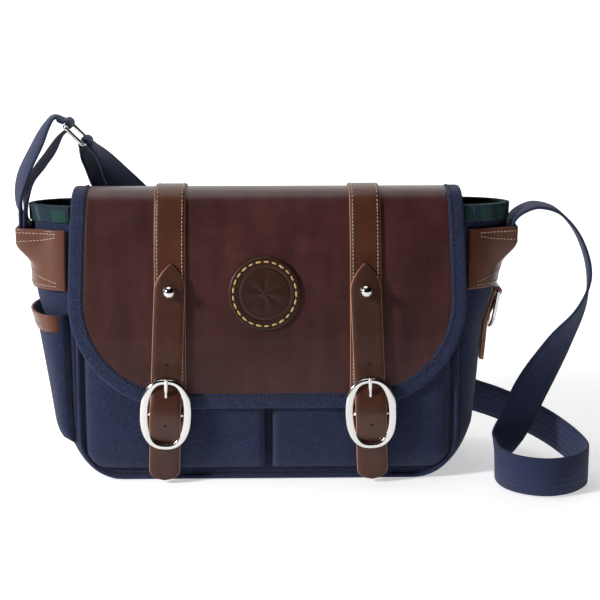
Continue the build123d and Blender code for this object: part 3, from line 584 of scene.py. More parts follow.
def cloth(name, grid, thick, materials, flip=False):
    """A closed sheet whose outer face is a grid of points."""
    rows, cols = len(grid), len(grid[0])
    verts = [p for row in grid for p in row]
    for i in range(rows):
        for j in range(cols):
            across = grid[i][min(j + 1, cols - 1)] - grid[i][max(j - 1, 0)]
            up = grid[min(i + 1, rows - 1)][j] - grid[max(i - 1, 0)][j]
            normal = across.cross(up).normalized()
            verts.append(grid[i][j] - normal * (-thick if flip else thick))
    u, v = [0.0], [0.0]
    middle = rows // 2
    for j in range(1, cols):
        u.append(u[-1] + (grid[middle][j] - grid[middle][j - 1]).length)
    for i in range(1, rows):
        v.append(v[-1] + (grid[i][cols // 2] - grid[i - 1][cols // 2]).length)
    faces, uvs, slots = [], [], []
    size = rows * cols
    for i in range(rows - 1):
        for j in range(cols - 1):
            a = i * cols + j
            square = [(u[j], v[i]), (u[j + 1], v[i]), (u[j + 1], v[i + 1]), (u[j], v[i + 1])]
            faces.append((a, a + 1, a + cols + 1, a + cols))
            uvs.append(square)
            faces.append((size + a, size + a + cols, size + a + cols + 1, size + a + 1))
            uvs.append([square[0], square[3], square[2], square[1]])
            slots += [0, 0]
    rim = list(range(cols)) + [i * cols + cols - 1 for i in range(1, rows)]
    rim += [(rows - 1) * cols + j for j in range(cols - 2, -1, -1)]
    rim += [i * cols for i in range(rows - 2, 0, -1)]
    run = 0.0
    for a, b in zip(rim, rim[1:] + rim[:1]):
        step = (verts[b] - verts[a]).length
        faces.append((a, a + size, b + size, b))
        uvs.append([(run, 0), (run, thick), (run + step, thick), (run + step, 0)])
        slots.append(len(materials) - 1)
        run += step
    return make(name, verts, faces, uvs, materials, slots)


def spread(low, high, count):
    return [low + (high - low) * i / (count - 1) for i in range(count)]


LEVELS = [CORNER * (1 - math.cos(math.pi / 2 * i / 12)) for i in range(12)] + spread(CORNER, MOUTH_Z, 50)


def panel(name, face, node):
    """A body panel: face is -1 at the front and 1 at the back."""
    grid = []
    for z in LEVELS:
        reach = half_width(z)
        row = []
        for x in spread(-reach, reach, 81):
            hold = min(1.0, (reach - abs(x)) / 0.03, z / 0.03)
            sink = (1 + ripple(Vector((x, face, z)), 1, 14)) * hold * 1.2 * MM
            row.append(Vector((x, face * (half_depth(z) - sink), z)))
        grid.append(row)
    finish(cloth(name, grid, CANVAS * 0.6, [NAVY], face > 0), "bag", "canvas", node)


def u_outline(inset, top, steps=14):
    """(x, z) points down the left side, round both bottom corners and up the right side."""
    radius = CORNER - inset
    right = []
    for i in range(steps + 1):
        turn = math.pi / 2 * i / steps
        right.append((HALF_WIDTH - CORNER + radius * math.sin(turn), CORNER - radius * math.cos(turn)))
    right += [(HALF_WIDTH - inset, z) for z in spread(CORNER, top, 22)[1:]]
    left = [(-x, z) for x, z in right[::-1]]
    flat = [(x, inset) for x in spread(-(HALF_WIDTH - CORNER), HALF_WIDTH - CORNER, 20)[1:-1]]
    return left + flat + right


def polyline(points):
    """A function from distance to place along a row of points, and the row's length."""
    run = [0.0]
    for a, b in zip(points, points[1:]):
        run.append(run[-1] + (b - a).length)

    def at(distance):
        for i in range(len(points) - 1):
            if distance <= run[i + 1] or i == len(points) - 2:
                return points[i].lerp(points[i + 1], (distance - run[i]) / max(1e-9, run[i + 1] - run[i]))

    return at, run[-1]


def row_on(points, out, pitch):
    """Stitch points along a row with one outward direction."""
    at, length = polyline(points)
    return seam(lambda d: (at(d), out), length, pitch)


def turned_seam(name, face, node, top):
    """The raised turned seam round a panel, with its sewn row."""
    ridge = [Vector((x, face * (half_depth(z) + 0.3 * MM), z)) for x, z in u_outline(2.5 * MM, top)]
    finish(tube(name, ridge, 2.4 * MM, NAVY_EDGE, sides=12), "bag", "canvas_binding", node)
    line = [Vector((x, face * (half_depth(z) + 0.1 * MM), z)) for x, z in u_outline(6.5 * MM, top)]
    row = row_on(line, Vector((0, face, 0)), 3.4 * MM)
    finish(sew(name + "_thread", row, NAVY_THREAD), "bag", "canvas_binding")


def gusset(name, side, node):
    grid = []
    for z in LEVELS:
        seam_turn = math.pi / 2 - 0.004
        row = []
        for turn in spread(-seam_turn, seam_turn, 41):
            point = side_point(side, turn, z)
            hold = min(1.0, (seam_turn - abs(turn)) / 0.3, z / 0.04)
            pull = ripple(point, 1, 17) * hold * 1.6 * MM - 1.0 * MM * hold
            row.append(point + Vector((side * math.cos(turn), math.sin(turn), 0)) * min(0.0, pull))
        grid.append(row)
    finish(cloth(name, grid, CANVAS * 0.6, [NAVY], side < 0), "bag", "canvas", node)


def level_ring(z, inset):
    turns = [math.pi * (i / 24 - 0.5) for i in range(25)]
    right = [side_point(1, a, z, -inset) for a in turns]
    return right + [side_point(-1, -a, z, -inset) for a in turns]


def inner_wall(name, outer, inner, low, material, slot, node):
    """A cloth wall inside the body, between two insets."""
    heights = [low + (MOUTH_Z - low) * (i / 26) ** 1.4 for i in range(27)]
    rings = [level_ring(z, outer) for z in heights]
    rings += [level_ring(max(z, low + inner - outer), inner) for z in heights[::-1]]
    finish(loft(name, rings, [material]), "bag", slot, node)


panel("front_canvas", -1, "front_panel")
panel("back_canvas", 1, "back_panel")
turned_seam("front_turned_seam", -1, "front_piping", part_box("front_piping")[1].z)
turned_seam("back_turned_seam", 1, "back_piping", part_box("back_piping")[1].z)
for label, side in SIDES:
    gusset(label + "_gusset_canvas", side, label + "_gusset")

BASE = [[Vector((x, y, 0.4 * MM + ripple(Vector((x, y, 0)), 0.4 * MM, 20)))
         for x in spread(-143 * MM, 143 * MM, 49)] for y in spread(-55 * MM, 55 * MM, 21)]
finish(cloth("base_canvas", BASE, 1.2 * MM, [NAVY], True), "bag", "canvas", "bottom_panel")
inner_wall("check_lining", 2.3 * MM, 3.3 * MM, 2.6 * MM, CHECK, "lining_check", "lining")
for label, side in SIDES:
    turns = spread(-1.5, 1.5, 41)
    grid = [[side_point(side, a, z, 0.7 * MM) for a in turns] for z in spread(253 * MM, MOUTH_Z, 7)]
    grid.append([side_point(side, a, MOUTH_Z, -4.2 * MM) + Vector((0, 0, 0.9 * MM)) for a in turns])
    finish(cloth(label + "_rim_binding", grid, 0.6 * MM, [CHECK], side < 0), "bag", "facing_check")
inner_wall("mouth_facing", 3.6 * MM, 4.4 * MM, 252 * MM, CHECK, "facing_check", "rim_facing")


# ---- Pockets and side leather

def ease(distance, reach):
    """0 at an edge, 1 once further in than reach, with a round shoulder."""
    share = min(1.0, max(0.0, distance / reach))
    return math.sqrt(1 - (1 - share) ** 2)


def front_pocket(label, side):
    low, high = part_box(label + "_front_pocket")
    inner, outer = sorted((abs(low.x), abs(high.x)))
    grid = []
    for z in [low.z + 1 * MM + (high.z - low.z - 1 * MM) * (i / 40) ** 1.3 for i in range(41)]:
        reach = min(outer, half_width(z, 5.3 * MM))
        row = []
        for x in spread(inner, reach, 49):
            full = ease(x - inner, 0.006) * ease(reach - x, 0.03) * ease(z - low.z, 0.03)
            slack = 1 - 0.22 * (1 + ripple(Vector((x * side, 3, z)), 1, 20)) / 2
            room = 0.5 * MM + (POCKET_ROOM + POCKET_WALL) * full * slack
            row.append(Vector((side * x, -half_depth(z) - room, z)))
        grid.append(row)
    obj = cloth(label + "_pocket_canvas", grid, 1.3 * MM, [NAVY], side < 0)
    finish(obj, "bag", "canvas", label + "_front_pocket")
    hem = [p + Vector((0, -0.2 * MM, 0)) for p in grid[-4][3:-3]]
    points = row_on(hem, Vector((0, -1, 0)), 3.4 * MM)
    finish(sew(label + "_pocket_thread", points, NAVY_THREAD), "bag", "canvas")


def pocket_sheet(name, node, out, thick, materials, degrees, slot, swell, rounded):
    """A sheet round the left gusset that swells out from it, with a rounded foot or a straight one."""
    low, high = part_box(node)
    span = math.radians(degrees)
    grid = []
    for z in spread(low.z, high.z, 27):
        row = []
        for turn in spread(-span, span, 41):
            full = ease(span - abs(turn), 0.5) * (ease(z - low.z, 0.02) if rounded else 1)
            row.append(side_point(-1, turn, z, out + swell * full))
        grid.append(row)
    finish(cloth(name, grid, thick, materials, True), "bag", slot, node)


WEBBING_REACH = 0.2444
PULL_LOW, PULL_RISE = 0.206, 0.026
PULL_HALF, PULL_FADE = 0.0295, 0.009


def smooth_step(share):
    share = min(1.0, max(0.0, share))
    return share * share * (3 - 2 * share)


def patch_point(side, turn, z, out):
    """A point on a gusset's leather patch, which is pulled out over the ends of the webbing."""
    point = side_point(side, turn, z, out)
    share = smooth_step((z - PULL_LOW) / PULL_RISE) * smooth_step((PULL_HALF - abs(point.y)) / PULL_FADE)
    reach = WEBBING_REACH + out
    if reach > abs(point.x):
        point.x = side * (abs(point.x) + (reach - abs(point.x)) * share)
    return point


def side_rows(name, side, rows, thread_out, place=side_point):
    """Rows of stitching on a gusset, each through (turn, height) points."""
    points = []
    for row in rows:
        line = [place(side, turn, z, thread_out) for turn, z in row]
        points += row_on(line, Vector((side, 0, 0)), 3.6 * MM)
    finish(sew(name, points, CREAM), "bag", "patch_leather")


for label, side in SIDES:
    front_pocket(label, side)
    low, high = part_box(label + "_gusset_patch")
    turns = spread(-1.43, 1.43, 61)
    grid = [[patch_point(side, a, z, 2.1 * MM) for a in turns] for z in spread(low.z, high.z, 31)]
    patch = cloth(label + "_side_patch", grid, 1.6 * MM, [PATCH_HIDE, EDGE], side < 0)
    finish(patch, "bag", "patch_leather", label + "_gusset_patch")
    level = [math.radians(a) for a in spread(-70, 70, 30)]
    rows = [[(a, low.z + 4 * MM) for a in level], [(a, high.z - 4 * MM) for a in level]]
    for end in (low.z + 7 * MM, high.z - 7 * MM):
        middle = (low.z + high.z) / 2
        rows.append([(math.radians(-70 + 125 * i / 20), end + (middle - end) * i / 20) for i in range(21)])
    side_rows(label + "_side_patch_thread", side, rows, 2.35 * MM, patch_point)

pocket_sheet("side_pocket_canvas", "side_pocket", 0.8 * MM, 1.2 * MM, [NAVY], 80, "canvas", 7.4 * MM, True)
pocket_sheet("side_pocket_leather", "side_pocket_trim", 2.6 * MM, 1.8 * MM, [PATCH_HIDE, EDGE], 76,
             "patch_leather", 7.6 * MM, False)
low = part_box("side_pocket_trim")[0]
TRIM_ROW = [(math.radians(a), low.z + 4 * MM) for a in spread(-50, 50, 30)]
side_rows("side_pocket_leather_thread", -1, [TRIM_ROW], 10.5 * MM)

low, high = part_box("inner_pocket")
INSIDE = []
for z in spread(low.z, high.z, 25):
    INSIDE.append([])
    for x in spread(low.x, high.x, 41):
        full = ease(high.x - abs(x), 0.02) * ease(z - low.z, 0.02)
        INSIDE[-1].append(Vector((x, half_depth(z) - 4.2 * MM - 3.5 * MM * full, z)))
finish(cloth("inner_pocket_cloth", INSIDE, 1 * MM, [CHECK]), "bag", "lining_check", "inner_pocket")


# ---- The flap, on a path of (y, z) from its front edge over the crest and down the back panel

def catmull(points, steps):
    """A smooth row of vectors through the points."""
    made = []
    for i in range(len(points) - 1):
        a, b = points[max(i - 1, 0)], points[i]
        c, d = points[i + 1], points[min(i + 2, len(points) - 1)]
        for k in range(steps):
            t = k / steps
            made.append(0.5 * (2 * b + (c - a) * t + (2 * a - 5 * b + 4 * c - d) * t * t
                               + (3 * b - a - 3 * c + d) * t ** 3))
    return made + [points[-1]]


def pocket_face(z):
    return half_depth(z) + 0.3 * MM + POCKET_ROOM + POCKET_WALL


RISE = CREST_Z - MOUTH_Z
FLAP_KNOTS = [(-pocket_face(z * MM) - 0.6 * MM, z * MM) for z in (76, 88, 100, 112, 125, 138, 150)]
FLAP_KNOTS += [(-half_depth(z * MM) - gap * MM, z * MM) for z, gap in ((190, 10.5), (225, 9.5), (250, 6.5))]
FLAP_KNOTS += [
    (-HALF_MOUTH - 3 * MM, MOUTH_Z - 4 * MM),
    (-HALF_MOUTH + 3.5 * MM, MOUTH_Z + 0.6 * RISE),
    (-HALF_MOUTH + 15 * MM, MOUTH_Z + 0.95 * RISE),
    (2 * MM, CREST_Z),
    (HALF_MOUTH - 12 * MM, MOUTH_Z + 0.86 * RISE),
    (HALF_MOUTH - 3 * MM, MOUTH_Z + 0.5 * RISE),
    (HALF_MOUTH + 0.3 * MM, HINGE_Z + 2 * MM),
]
FLAP_KNOTS += [(half_depth(z * MM) + 0.3 * MM, z * MM) for z in (264, 254, 244, 234, 224)]
FLAP_PATH = catmull([Vector((0, y, z)) for y, z in FLAP_KNOTS], 5)
PATH_AT, PATH_LENGTH = polyline(FLAP_PATH)
PATH_RUN = [0.0]
for first, second in zip(FLAP_PATH, FLAP_PATH[1:]):
    PATH_RUN.append(PATH_RUN[-1] + (second - first).length)
CREST_RUN = max(zip((p.z for p in FLAP_PATH), PATH_RUN))[1]


def outward(run):
    step = PATH_AT(min(run + 1 * MM, PATH_LENGTH)) - PATH_AT(max(run - 1 * MM, 0))
    return Vector((0, -step.z, step.y)).normalized()


def flap_at(x, run, out):
    """A point out from the flap's inner face, at a distance along its path."""
    point = PATH_AT(run) + outward(run) * out
    return Vector((x, point.y, point.z))


def run_at(z):
    """The distance along the path of a height on the front."""
    for a, b, run, following in zip(FLAP_PATH, FLAP_PATH[1:], PATH_RUN, PATH_RUN[1:]):
        if b.z >= z:
            return run + (following - run) * (z - a.z) / (b.z - a.z)
    return CREST_RUN


def surface_y(out, z):
    run = run_at(z)
    return flap_at(0, run + (z - flap_at(0, run, out).z), out).y


def flap_reach(run, inset):
    """Half the flap's width, inside an inset, at a distance along the path."""
    z = PATH_AT(run).z
    top = HALF_FLAP - (HALF_FLAP - HALF_CREST) * max(0.0, (z - FLAP_BOTTOM - FLAP_CORNER) / 0.13)
    drop = FLAP_BOTTOM + FLAP_CORNER - z
    if run > CREST_RUN or drop <= 0:
        return top - inset
    return HALF_FLAP - FLAP_CORNER + math.sqrt(max(0.0, (FLAP_CORNER - inset) ** 2 - drop ** 2))


def flap_grid(inset, out, start_run, end_run, rows=90, cols=73):
    grid = []
    for i in range(rows):
        run = start_run + (end_run - start_run) * (i / (rows - 1)) ** 1.25
        reach = flap_reach(run, inset)
        grid.append([flap_at(x, run, out) for x in spread(-reach, reach, cols)])
    return grid


def flap_edge(inset):
    """(x, run) points round the flap from the back, down its left side, along the front and up the right."""
    half = HALF_FLAP - FLAP_CORNER
    radius = FLAP_CORNER - inset
    right = []
    for turn in spread(0, math.pi / 2, 25):
        z = FLAP_BOTTOM + FLAP_CORNER - radius * math.cos(turn)
        right.append((half + radius * math.sin(turn), run_at(z)))
    for run in spread(run_at(FLAP_BOTTOM + FLAP_CORNER), PATH_LENGTH, 60)[1:]:
        right.append((flap_reach(run, inset), run))
    front = [(x, run_at(FLAP_BOTTOM + inset)) for x in spread(-half, half, 24)[1:-1]]
    return [(-x, run) for x, run in right[::-1]] + front + right


def fold(obj, slot, *nodes):
    """Hide the CAD nodes that a finished piece stands for, and bake its transform into its mesh."""
    mark(obj, slot, *nodes)
    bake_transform(obj)


HIDE_GRID = flap_grid(12 * MM, FLAP_THICK, run_at(FLAP_BOTTOM + 12.5 * MM), PATH_LENGTH)
HIDE = cloth("flap_hide_sheet", HIDE_GRID, 2.2 * MM, [FLAP_HIDE, EDGE])
fold(HIDE, "flap_leather", "flap_panel", "flap_back_strip")
BACKING_GRID = flap_grid(3 * MM, 0.9 * MM, run_at(FLAP_BOTTOM + 3 * MM), PATH_LENGTH - STRIP_HEIGHT)
fold(cloth("flap_backing", BACKING_GRID, 0.7 * MM, [NAVY_LINING]), "flap_lining", "flap_lining")

EDGES = {inset: flap_edge(inset * MM) for inset in (0.0, 0.4, 2.0, 6.0, 10.0, 13.5, 15.0)}
TRIM_OVER = ((0.0, 2.0), (0.4, 3.2), (2.0, 3.75), (6.0, 3.8), (10.0, 3.8), (13.5, 3.75), (15.0, 3.3))
TRIM_UNDER = ((15.0, 0.1), (10.0, 0.0), (6.0, 0.0), (2.0, 0.0), (0.4, 0.3))
RINGS = []
for k in range(len(EDGES[0.0])):
    RINGS.append([flap_at(*EDGES[inset][k], out * MM) for inset, out in TRIM_OVER + TRIM_UNDER])
fold(loft("flap_trim", RINGS, [NAVY_EDGE]), "canvas_binding", "flap_binding")

TRIM_AT, TRIM_LENGTH = polyline([Vector((x, run, 0)) for x, run in flap_edge(12 * MM)])


def trim_spot(distance):
    place = TRIM_AT(distance)
    return flap_at(place.x, place.y, 3.95 * MM), outward(place.y)


TRIM_THREAD = sew("flap_trim_thread", seam(trim_spot, TRIM_LENGTH, 4 * MM), NAVY_THREAD, 2.9 * MM, 1.7 * MM)
fold(TRIM_THREAD, "canvas_binding")


# ---- Straps on the flap

def leather_strap(label, side):
    x = side * STRAP_X
    start = run_at(FLAP_BOTTOM + BINDING + 0.5 * MM)
    stations = []
    for run in spread(start, PATH_LENGTH, 110):
        stations.append((flap_at(x, run, STRAP_NEAR), Vector((1, 0, 0)), outward(run), STRAP_HALF))
    strap = band(label + "_strap_hide", stations, STRAP_THICK, [STRAP_HIDE, EDGE], 0.1 * MM)
    fold(strap, "strap_leather", label + "_flap_strap", label + "_back_strap")
    top = STRAP_NEAR + STRAP_THICK + 0.15 * MM
    points = []
    for row in (x - 12 * MM, x + 12 * MM):
        points += seam(lambda d: (flap_at(row, start + d, top), outward(start + d)),
                       PATH_LENGTH - start - 2 * MM, ROW_PITCH, 2 * MM)
    fold(sew(label + "_strap_thread", points, CREAM, 2.8 * MM, 1.0 * MM), "strap_leather")


def leaned(side, x, y, z):
    """A point of an upright closure at x = 0, leaned about its stud and moved to its side."""
    c, s = math.cos(-LEAN * side), math.sin(-LEAN * side)
    rise = z - STUD_Z
    return Vector((side * STRAP_X + x * c + rise * s, y, STUD_Z - x * s + rise * c))


def closure_path():
    """The closure strap's middle line as (y, z), from its pointed top to its end."""
    middle = CLOSURE_NEAR + CLOSURE_THICK / 2
    over_bar = BUCKLE_Y - 2 * MM - 0.2 * MM - 1.4 * MM - 0.3 * MM - CLOSURE_THICK / 2
    under = BUCKLE_Y + 2.25 * MM + CLOSURE_THICK / 2 + 0.3 * MM
    half = 35.5 * MM
    heights = (217, 208, 200, 192, 184, 176, 168, 160, 150, 140, 130, 120)
    over = ((2.2, 12), (0, 3), (0, -3), (2.6, -13), (6.6, -23))
    path = [(surface_y(middle, z * MM), z * MM) for z in heights]
    path += [(under + 0.9 * MM, BUCKLE_Z + rise) for rise in (half + 1 * MM, half - 5.5 * MM)]
    path.append(((under + over_bar) / 2 + 1.4 * MM, BUCKLE_Z + 20.5 * MM))
    path += [(over_bar + shift * MM, BUCKLE_Z + rise * MM) for shift, rise in over]
    path += [(under + 0.5 * MM, BUCKLE_Z - half + 4.5 * MM), (under + 1.6 * MM, BUCKLE_Z - half - 3 * MM)]
    return path + [(under + 2.6 * MM, BUCKLE_Z - half - 18 * MM), (under + 3 * MM, 4 * MM)]


CLOSURE = catmull([Vector((0, y, z)) for y, z in closure_path()], 8)


def closure_half(z):
    """Half the closure's width: pointed at the top and round at the end."""
    tip, tail = (TIP_TOP - z) / (26 * MM), (z - 4 * MM) / (10.5 * MM)
    half = STRAP_HALF
    if tip < 1:
        half *= math.sin(math.pi / 2 * max(0.0, tip)) ** 0.85
    if tail < 1:
        half *= math.sqrt(max(0.0, 1 - (1 - max(0.0, tail)) ** 2))
    return max(half, 0.8 * MM)


def punched(name, side, z, length, width):
    """A near-black oval on a closure where a punched opening is: painted shade standing for the dark inside
    of the hole.
    """
    place = min(CLOSURE, key=lambda p: abs(p.z - z))
    origin = leaned(side, 0, place.y - CLOSURE_THICK / 2 - 0.4 * MM, z)
    rings = []
    for depth, share in ((0.5, 1.0), (0.0, 1.0), (0.02, 0.8), (0.08, 0.6)):
        oval = [Vector((width * share * c, depth * MM, length * share * s)) for c, s in circle(24)]
        rings.append([origin + spot for spot in oval])
    return loft(name, rings, [HOLE_SHADE])


def closure(label, side):
    rings, slots = [], None
    for i, point in enumerate(CLOSURE):
        step = CLOSURE[min(i + 1, len(CLOSURE) - 1)] - CLOSURE[max(i - 1, 0)]
        out = Vector((0, step.z, -step.y)).normalized()
        section, slots = band_section(closure_half(point.z), CLOSURE_THICK, 0.15 * MM, 0.6 * MM)
        ring = []
        for x, h in section:
            place = point + out * (h - CLOSURE_THICK / 2)
            ring.append(leaned(side, x, place.y, place.z))
        rings.append(ring)
    strap = loft(label + "_closure_hide", rings, [CLOSURE_HIDE, EDGE], slots)
    mark(strap, "closure_leather", label + "_closure_tip", label + "_closure_strap")
    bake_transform(strap)
    for z, name in ((121, "upper"), (63.7, "lower")):
        hole = punched(label + "_" + name + "_hole", side, z * MM, 1.8 * MM, 1.8 * MM)
        finish(hole, label + "_closure", "closure_leather")
    slit = punched(label + "_stud_slit", side, STUD_Z - 9 * MM, 6 * MM, 0.7 * MM)
    finish(slit, "flap", "closure_leather")


def outline_point(half_x, half_z, power, share):
    """A point on a full-sided oval, by its share of a full turn."""
    angle = share * 2 * math.pi
    c, s = math.cos(angle), math.sin(angle)
    return math.copysign(abs(c) ** power, c) * half_x, math.copysign(abs(s) ** power, s) * half_z


def buckle(label, side):
    """A domed oval frame, thick at its sides, and its round centre bar."""
    rings = []
    for share in spread(0, 1, 73)[:-1]:
        ox, oz = outline_point(25 * MM, 35.5 * MM, 0.84, share)
        ix, iz = outline_point(16 * MM, 30 * MM, 0.72, share)
        ring = []
        for c, s in circle(16):
            across = 0.5 - 0.5 * math.copysign(abs(c) ** 0.8, c)
            height = math.copysign(abs(s) ** 0.8, s) * 2.25 * MM
            x, z = ix + (ox - ix) * across, BUCKLE_Z + iz + (oz - iz) * across
            ring.append(leaned(side, x, BUCKLE_Y - height, z))
        rings.append(ring)
    frame_ring = loft(label + "_frame", rings, [NICKEL], None, True)
    bar = [leaned(side, x, BUCKLE_Y, BUCKLE_Z) for x in spread(-17 * MM, 17 * MM, 8)]
    rod = tube(label + "_bar", bar, 2 * MM, NICKEL)
    finish(join(label + "_nickel_buckle", [frame_ring, rod]), label + "_closure", "nickel", label + "_buckle")


def buckle_leather(label, side):
    """The chape round the bar, and the front patch it is sewn to."""
    patch_front = -pocket_face(45 * MM) - 0.2 * MM - 1.8 * MM
    grid = []
    for z in spread(45 * MM, 73 * MM, 9):
        grid.append([leaned(side, x, patch_front, z) for x in spread(-20 * MM, 20 * MM, 13)])
    patch = cloth(label + "_front_leather", grid, 1.7 * MM, [CLOSURE_HIDE, EDGE])
    finish(patch, "bag", "closure_leather", label + "_buckle_patch")
    points = []
    for row in (((-17, 48), (-17, 71)), ((17, 48), (17, 71)), ((-16, 48), (16, 48))):
        line = [leaned(side, x * MM, patch_front - 0.15 * MM, z * MM) for x, z in row]
        points += row_on(line, Vector((0, -1, 0)), ROW_PITCH)
    finish(sew(label + "_front_leather_thread", points, CREAM), "bag", "closure_leather")
    back = patch_front - 0.6 * MM
    turns = spread(0, math.pi, 9)
    under_bar = BUCKLE_Z - 4 * MM
    path = [(back - 1.4 * MM, 48.5 * MM), (back - 1.4 * MM, 58 * MM), (BUCKLE_Y + 2.3 * MM, under_bar)]
    path += [(BUCKLE_Y + 2.4 * MM * math.cos(a), BUCKLE_Z + 2.4 * MM * math.sin(a)) for a in turns]
    path += [(BUCKLE_Y - 2.3 * MM, under_bar), (back - 1.5 * MM, 58 * MM), (back - 1.5 * MM, 48.5 * MM)]
    wide = leaned(side, 1, 0, STUD_Z) - leaned(side, 0, 0, STUD_Z)
    loop = looped(label + "_chape_hide", path, Vector((0, 1, 0)), lambda y, z: leaned(side, 0, y, z),
                  wide, 12 * MM, 1.3 * MM, CLOSURE_HIDE)
    finish(loop, label + "_closure", "closure_leather", label + "_chape")


for label, side in SIDES:
    leather_strap(label, side)
    closure(label, side)
    buckle(label, side)
    buckle_leather(label, side)


# ---- The round badge

BADGE_X, BADGE_Z, BADGE_R = -3 * MM, 188 * MM, 35 * MM


def badge_height(radius, angle):
    """The badge's relief: a rolled rim, a pressed ring and a plain six-petal rosette."""
    height = 3.0 - 0.9 * max(0.0, (radius - 33.5) / 1.5) ** 2
    height -= 0.7 * math.exp(-((radius - 25) / 0.9) ** 2)
    petal = abs(math.cos(3 * angle)) ** 1.5 * math.sin(math.pi * min(1.0, radius / 20)) ** 0.7
    height += 0.55 * petal if radius < 20 else 0.0
    return height + 0.5 * math.exp(-(radius / 3.2) ** 4)


def badge_point(radius, angle, height):
    x = BADGE_X + radius * math.cos(angle)
    z = BADGE_Z + radius * math.sin(angle)
    return Vector((x, surface_y(STRAP_NEAR + height, z), z))


TURNS = spread(0, 2 * math.pi, 97)[:-1]
RADII = [0.4] + spread(1.2, 19.5, 20) + spread(20.5, 33.5, 18) + [34.2, 34.7, 35.0]
RINGS = [[badge_point(r * MM, a, badge_height(r, a) * MM) for a in TURNS] for r in RADII]
RINGS.append([badge_point(BADGE_R, a, 0) for a in TURNS])
finish(loft("round_badge", RINGS, [BADGE_HIDE]), "flap", "medallion_leather", "medallion")
points = []
for i in range(25):
    angle = 2 * math.pi * i / 25
    place = badge_point(30.5 * MM, angle, 3.3 * MM)
    points.append((place, badge_point(30.5 * MM, angle + 0.02, 3.3 * MM) - place, Vector((0, -1, 0))))
finish(sew("round_badge_thread", points, GOLD, 6 * MM, 2 * MM), "flap", "medallion_leather")


# ---- Ring tab on the right side

TAB = []
BAR = Vector((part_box("ring_tab")[1].x - 4.3 * MM, 0, 0.179))


def tab_x(z):
    return HALF_WIDTH + between(RIGHT_FOLD, z) + 2.3 * MM


for z in (109, 120, 132, 146, 158):
    TAB.append((tab_x(z * MM), z * MM))
TAB += [(BAR.x + 2.3 * MM * math.cos(a), BAR.z + 2.3 * MM * math.sin(a)) for a in spread(0, math.pi, 11)]
TAB += [(tab_x(z * MM) - 0.1 * MM, z * MM) for z in (158, 146, 132, 120, 109)]
TAB_HIDE = looped("ring_tab_hide", TAB, Vector((1, 0, 0)), lambda x, z: Vector((x, 0, z)),
                  Vector((0, 1, 0)), 14 * MM, 2 * MM, PATCH_HIDE)
finish(TAB_HIDE, "bag", "patch_leather", "ring_tab")
points = []
LEFT_LOW, LEFT_HIGH, RIGHT_LOW, RIGHT_HIGH = (-11, 112), (-11, 158), (11, 112), (11, 158)
for row in ((LEFT_LOW, LEFT_HIGH), (RIGHT_LOW, RIGHT_HIGH), (LEFT_HIGH, RIGHT_HIGH), (LEFT_LOW, RIGHT_LOW)):
    line = [Vector((tab_x(z * MM) + 2.15 * MM, y * MM, z * MM)) for y, z in row]
    line = [line[0].lerp(line[1], t) for t in spread(0, 1, 8)]
    line = [Vector((tab_x(p.z) + 2.15 * MM, p.y, p.z)) for p in line]
    points += row_on(line, Vector((1, 0, 0)), ROW_PITCH)
finish(sew("ring_tab_thread", points, CREAM), "bag", "patch_leather")


# ---- Webbing

BACK_Y, LAYER_GAP = 88.0, 6.4
ROUTE = [
    (242.4, 0, 236, 0, 1, 0), (243, 0, 250, 0, 1, 0),
    (252, 0, 259, 0, 1, 0), (268, 0, 264, 0, 1, 0),
    (290, 0, 257, 0, 1, 0), (311, -2, 232, 0, 1, 0.05),
    (322, -5, 195, 0.1, 1, 0.05), (315, -8, 160, 0.45, 0.9, 0),
    (292, -13, 124, 0.75, 0.55, -0.2), (265, -20, 80, 0.8, 0.2, -0.5),
    (247, -32, 47, 0.55, 0.1, -0.85), (228, -50, 25, 0.1, 0, -1),
    (225, -80, 20.5, 0, 0, -1), (238, -107, 20.5, 0, 0, -1),
    (266, -119, 20.5, 0, 0, -1), (294, -108, 20.5, 0, 0, -1),
    (312, -80, 21, 0, 0, -1), (308, -40, 24, 0, 0, -1),
    (284, 5, 34, 0.1, 0, -1), (245, 45, 44, 0.2, 0.05, -1),
    (205, 72, 52, 0.2, 0.1, -1), (150, 84, 75, 0.35, 0, -0.95),
    (90, BACK_Y, 105, -0.45, 0, -0.9), (50, BACK_Y, 125, -0.45, 0, -0.9),
    (0, BACK_Y, 150, -0.45, 0, -0.9), (-50, BACK_Y, 175, -0.45, 0, -0.9),
    (-75, BACK_Y, 187.5, -0.45, 0, -0.9), (-108, BACK_Y, 210, -0.45, -0.15, -0.85),
    (-148, 89, 248, -0.5, -0.5, -0.65), (-175, 86, 284, -0.4, -0.85, -0.4),
    (-187, 76.5, 303, -0.1, -1, -0.05),
]
INNER_Y = BACK_Y - LAYER_GAP
RETURN = [
    (-171.5, 75, 306, -0.1, -1, -0.1), (-158, 79.5, 285, -0.4, -0.85, -0.4),
    (-133, 81, 254, -0.5, -0.5, -0.65), (-101, 81, 216, -0.45, -0.15, -0.85),
    (-66, INNER_Y, 183, -0.45, 0, -0.9), (-44, INNER_Y, 172, -0.45, 0, -0.9),
    (0, INNER_Y, 150, -0.45, 0, -0.9), (52, INNER_Y, 124, -0.45, 0, -0.9),
]
ANCHOR_RISE = [
    (-242.2, 0, 238, 0, -1, 0), (-242.4, 0, 252, 0.05, -1, 0),
    (-245, 12, 272, 0.3, -1, 0.1), (-243, 32, 294, 0.5, -1, 0.2),
    (-234, 53, 317, 0.5, -1, 0.2), (-225.5, 67, 336, 0.3, -1, 0.1),
    (-217.5, 72, 344, 0.1, -1, 0),
]
ANCHOR_FALL = [
    (-213, 70, 324, 0.2, -1, 0.1), (-222.5, 56, 308, 0.45, -1, 0.2),
    (-231.5, 41, 294, 0.45, -1, 0.2), (-237.5, 26, 281, 0.35, -1, 0.2),
    (-238.6, 12, 267, 0.2, -1, 0.1), (-238.4, 0, 253, 0.05, -1, 0),
    (-238.2, 0, 240, 0, -1, 0),
]


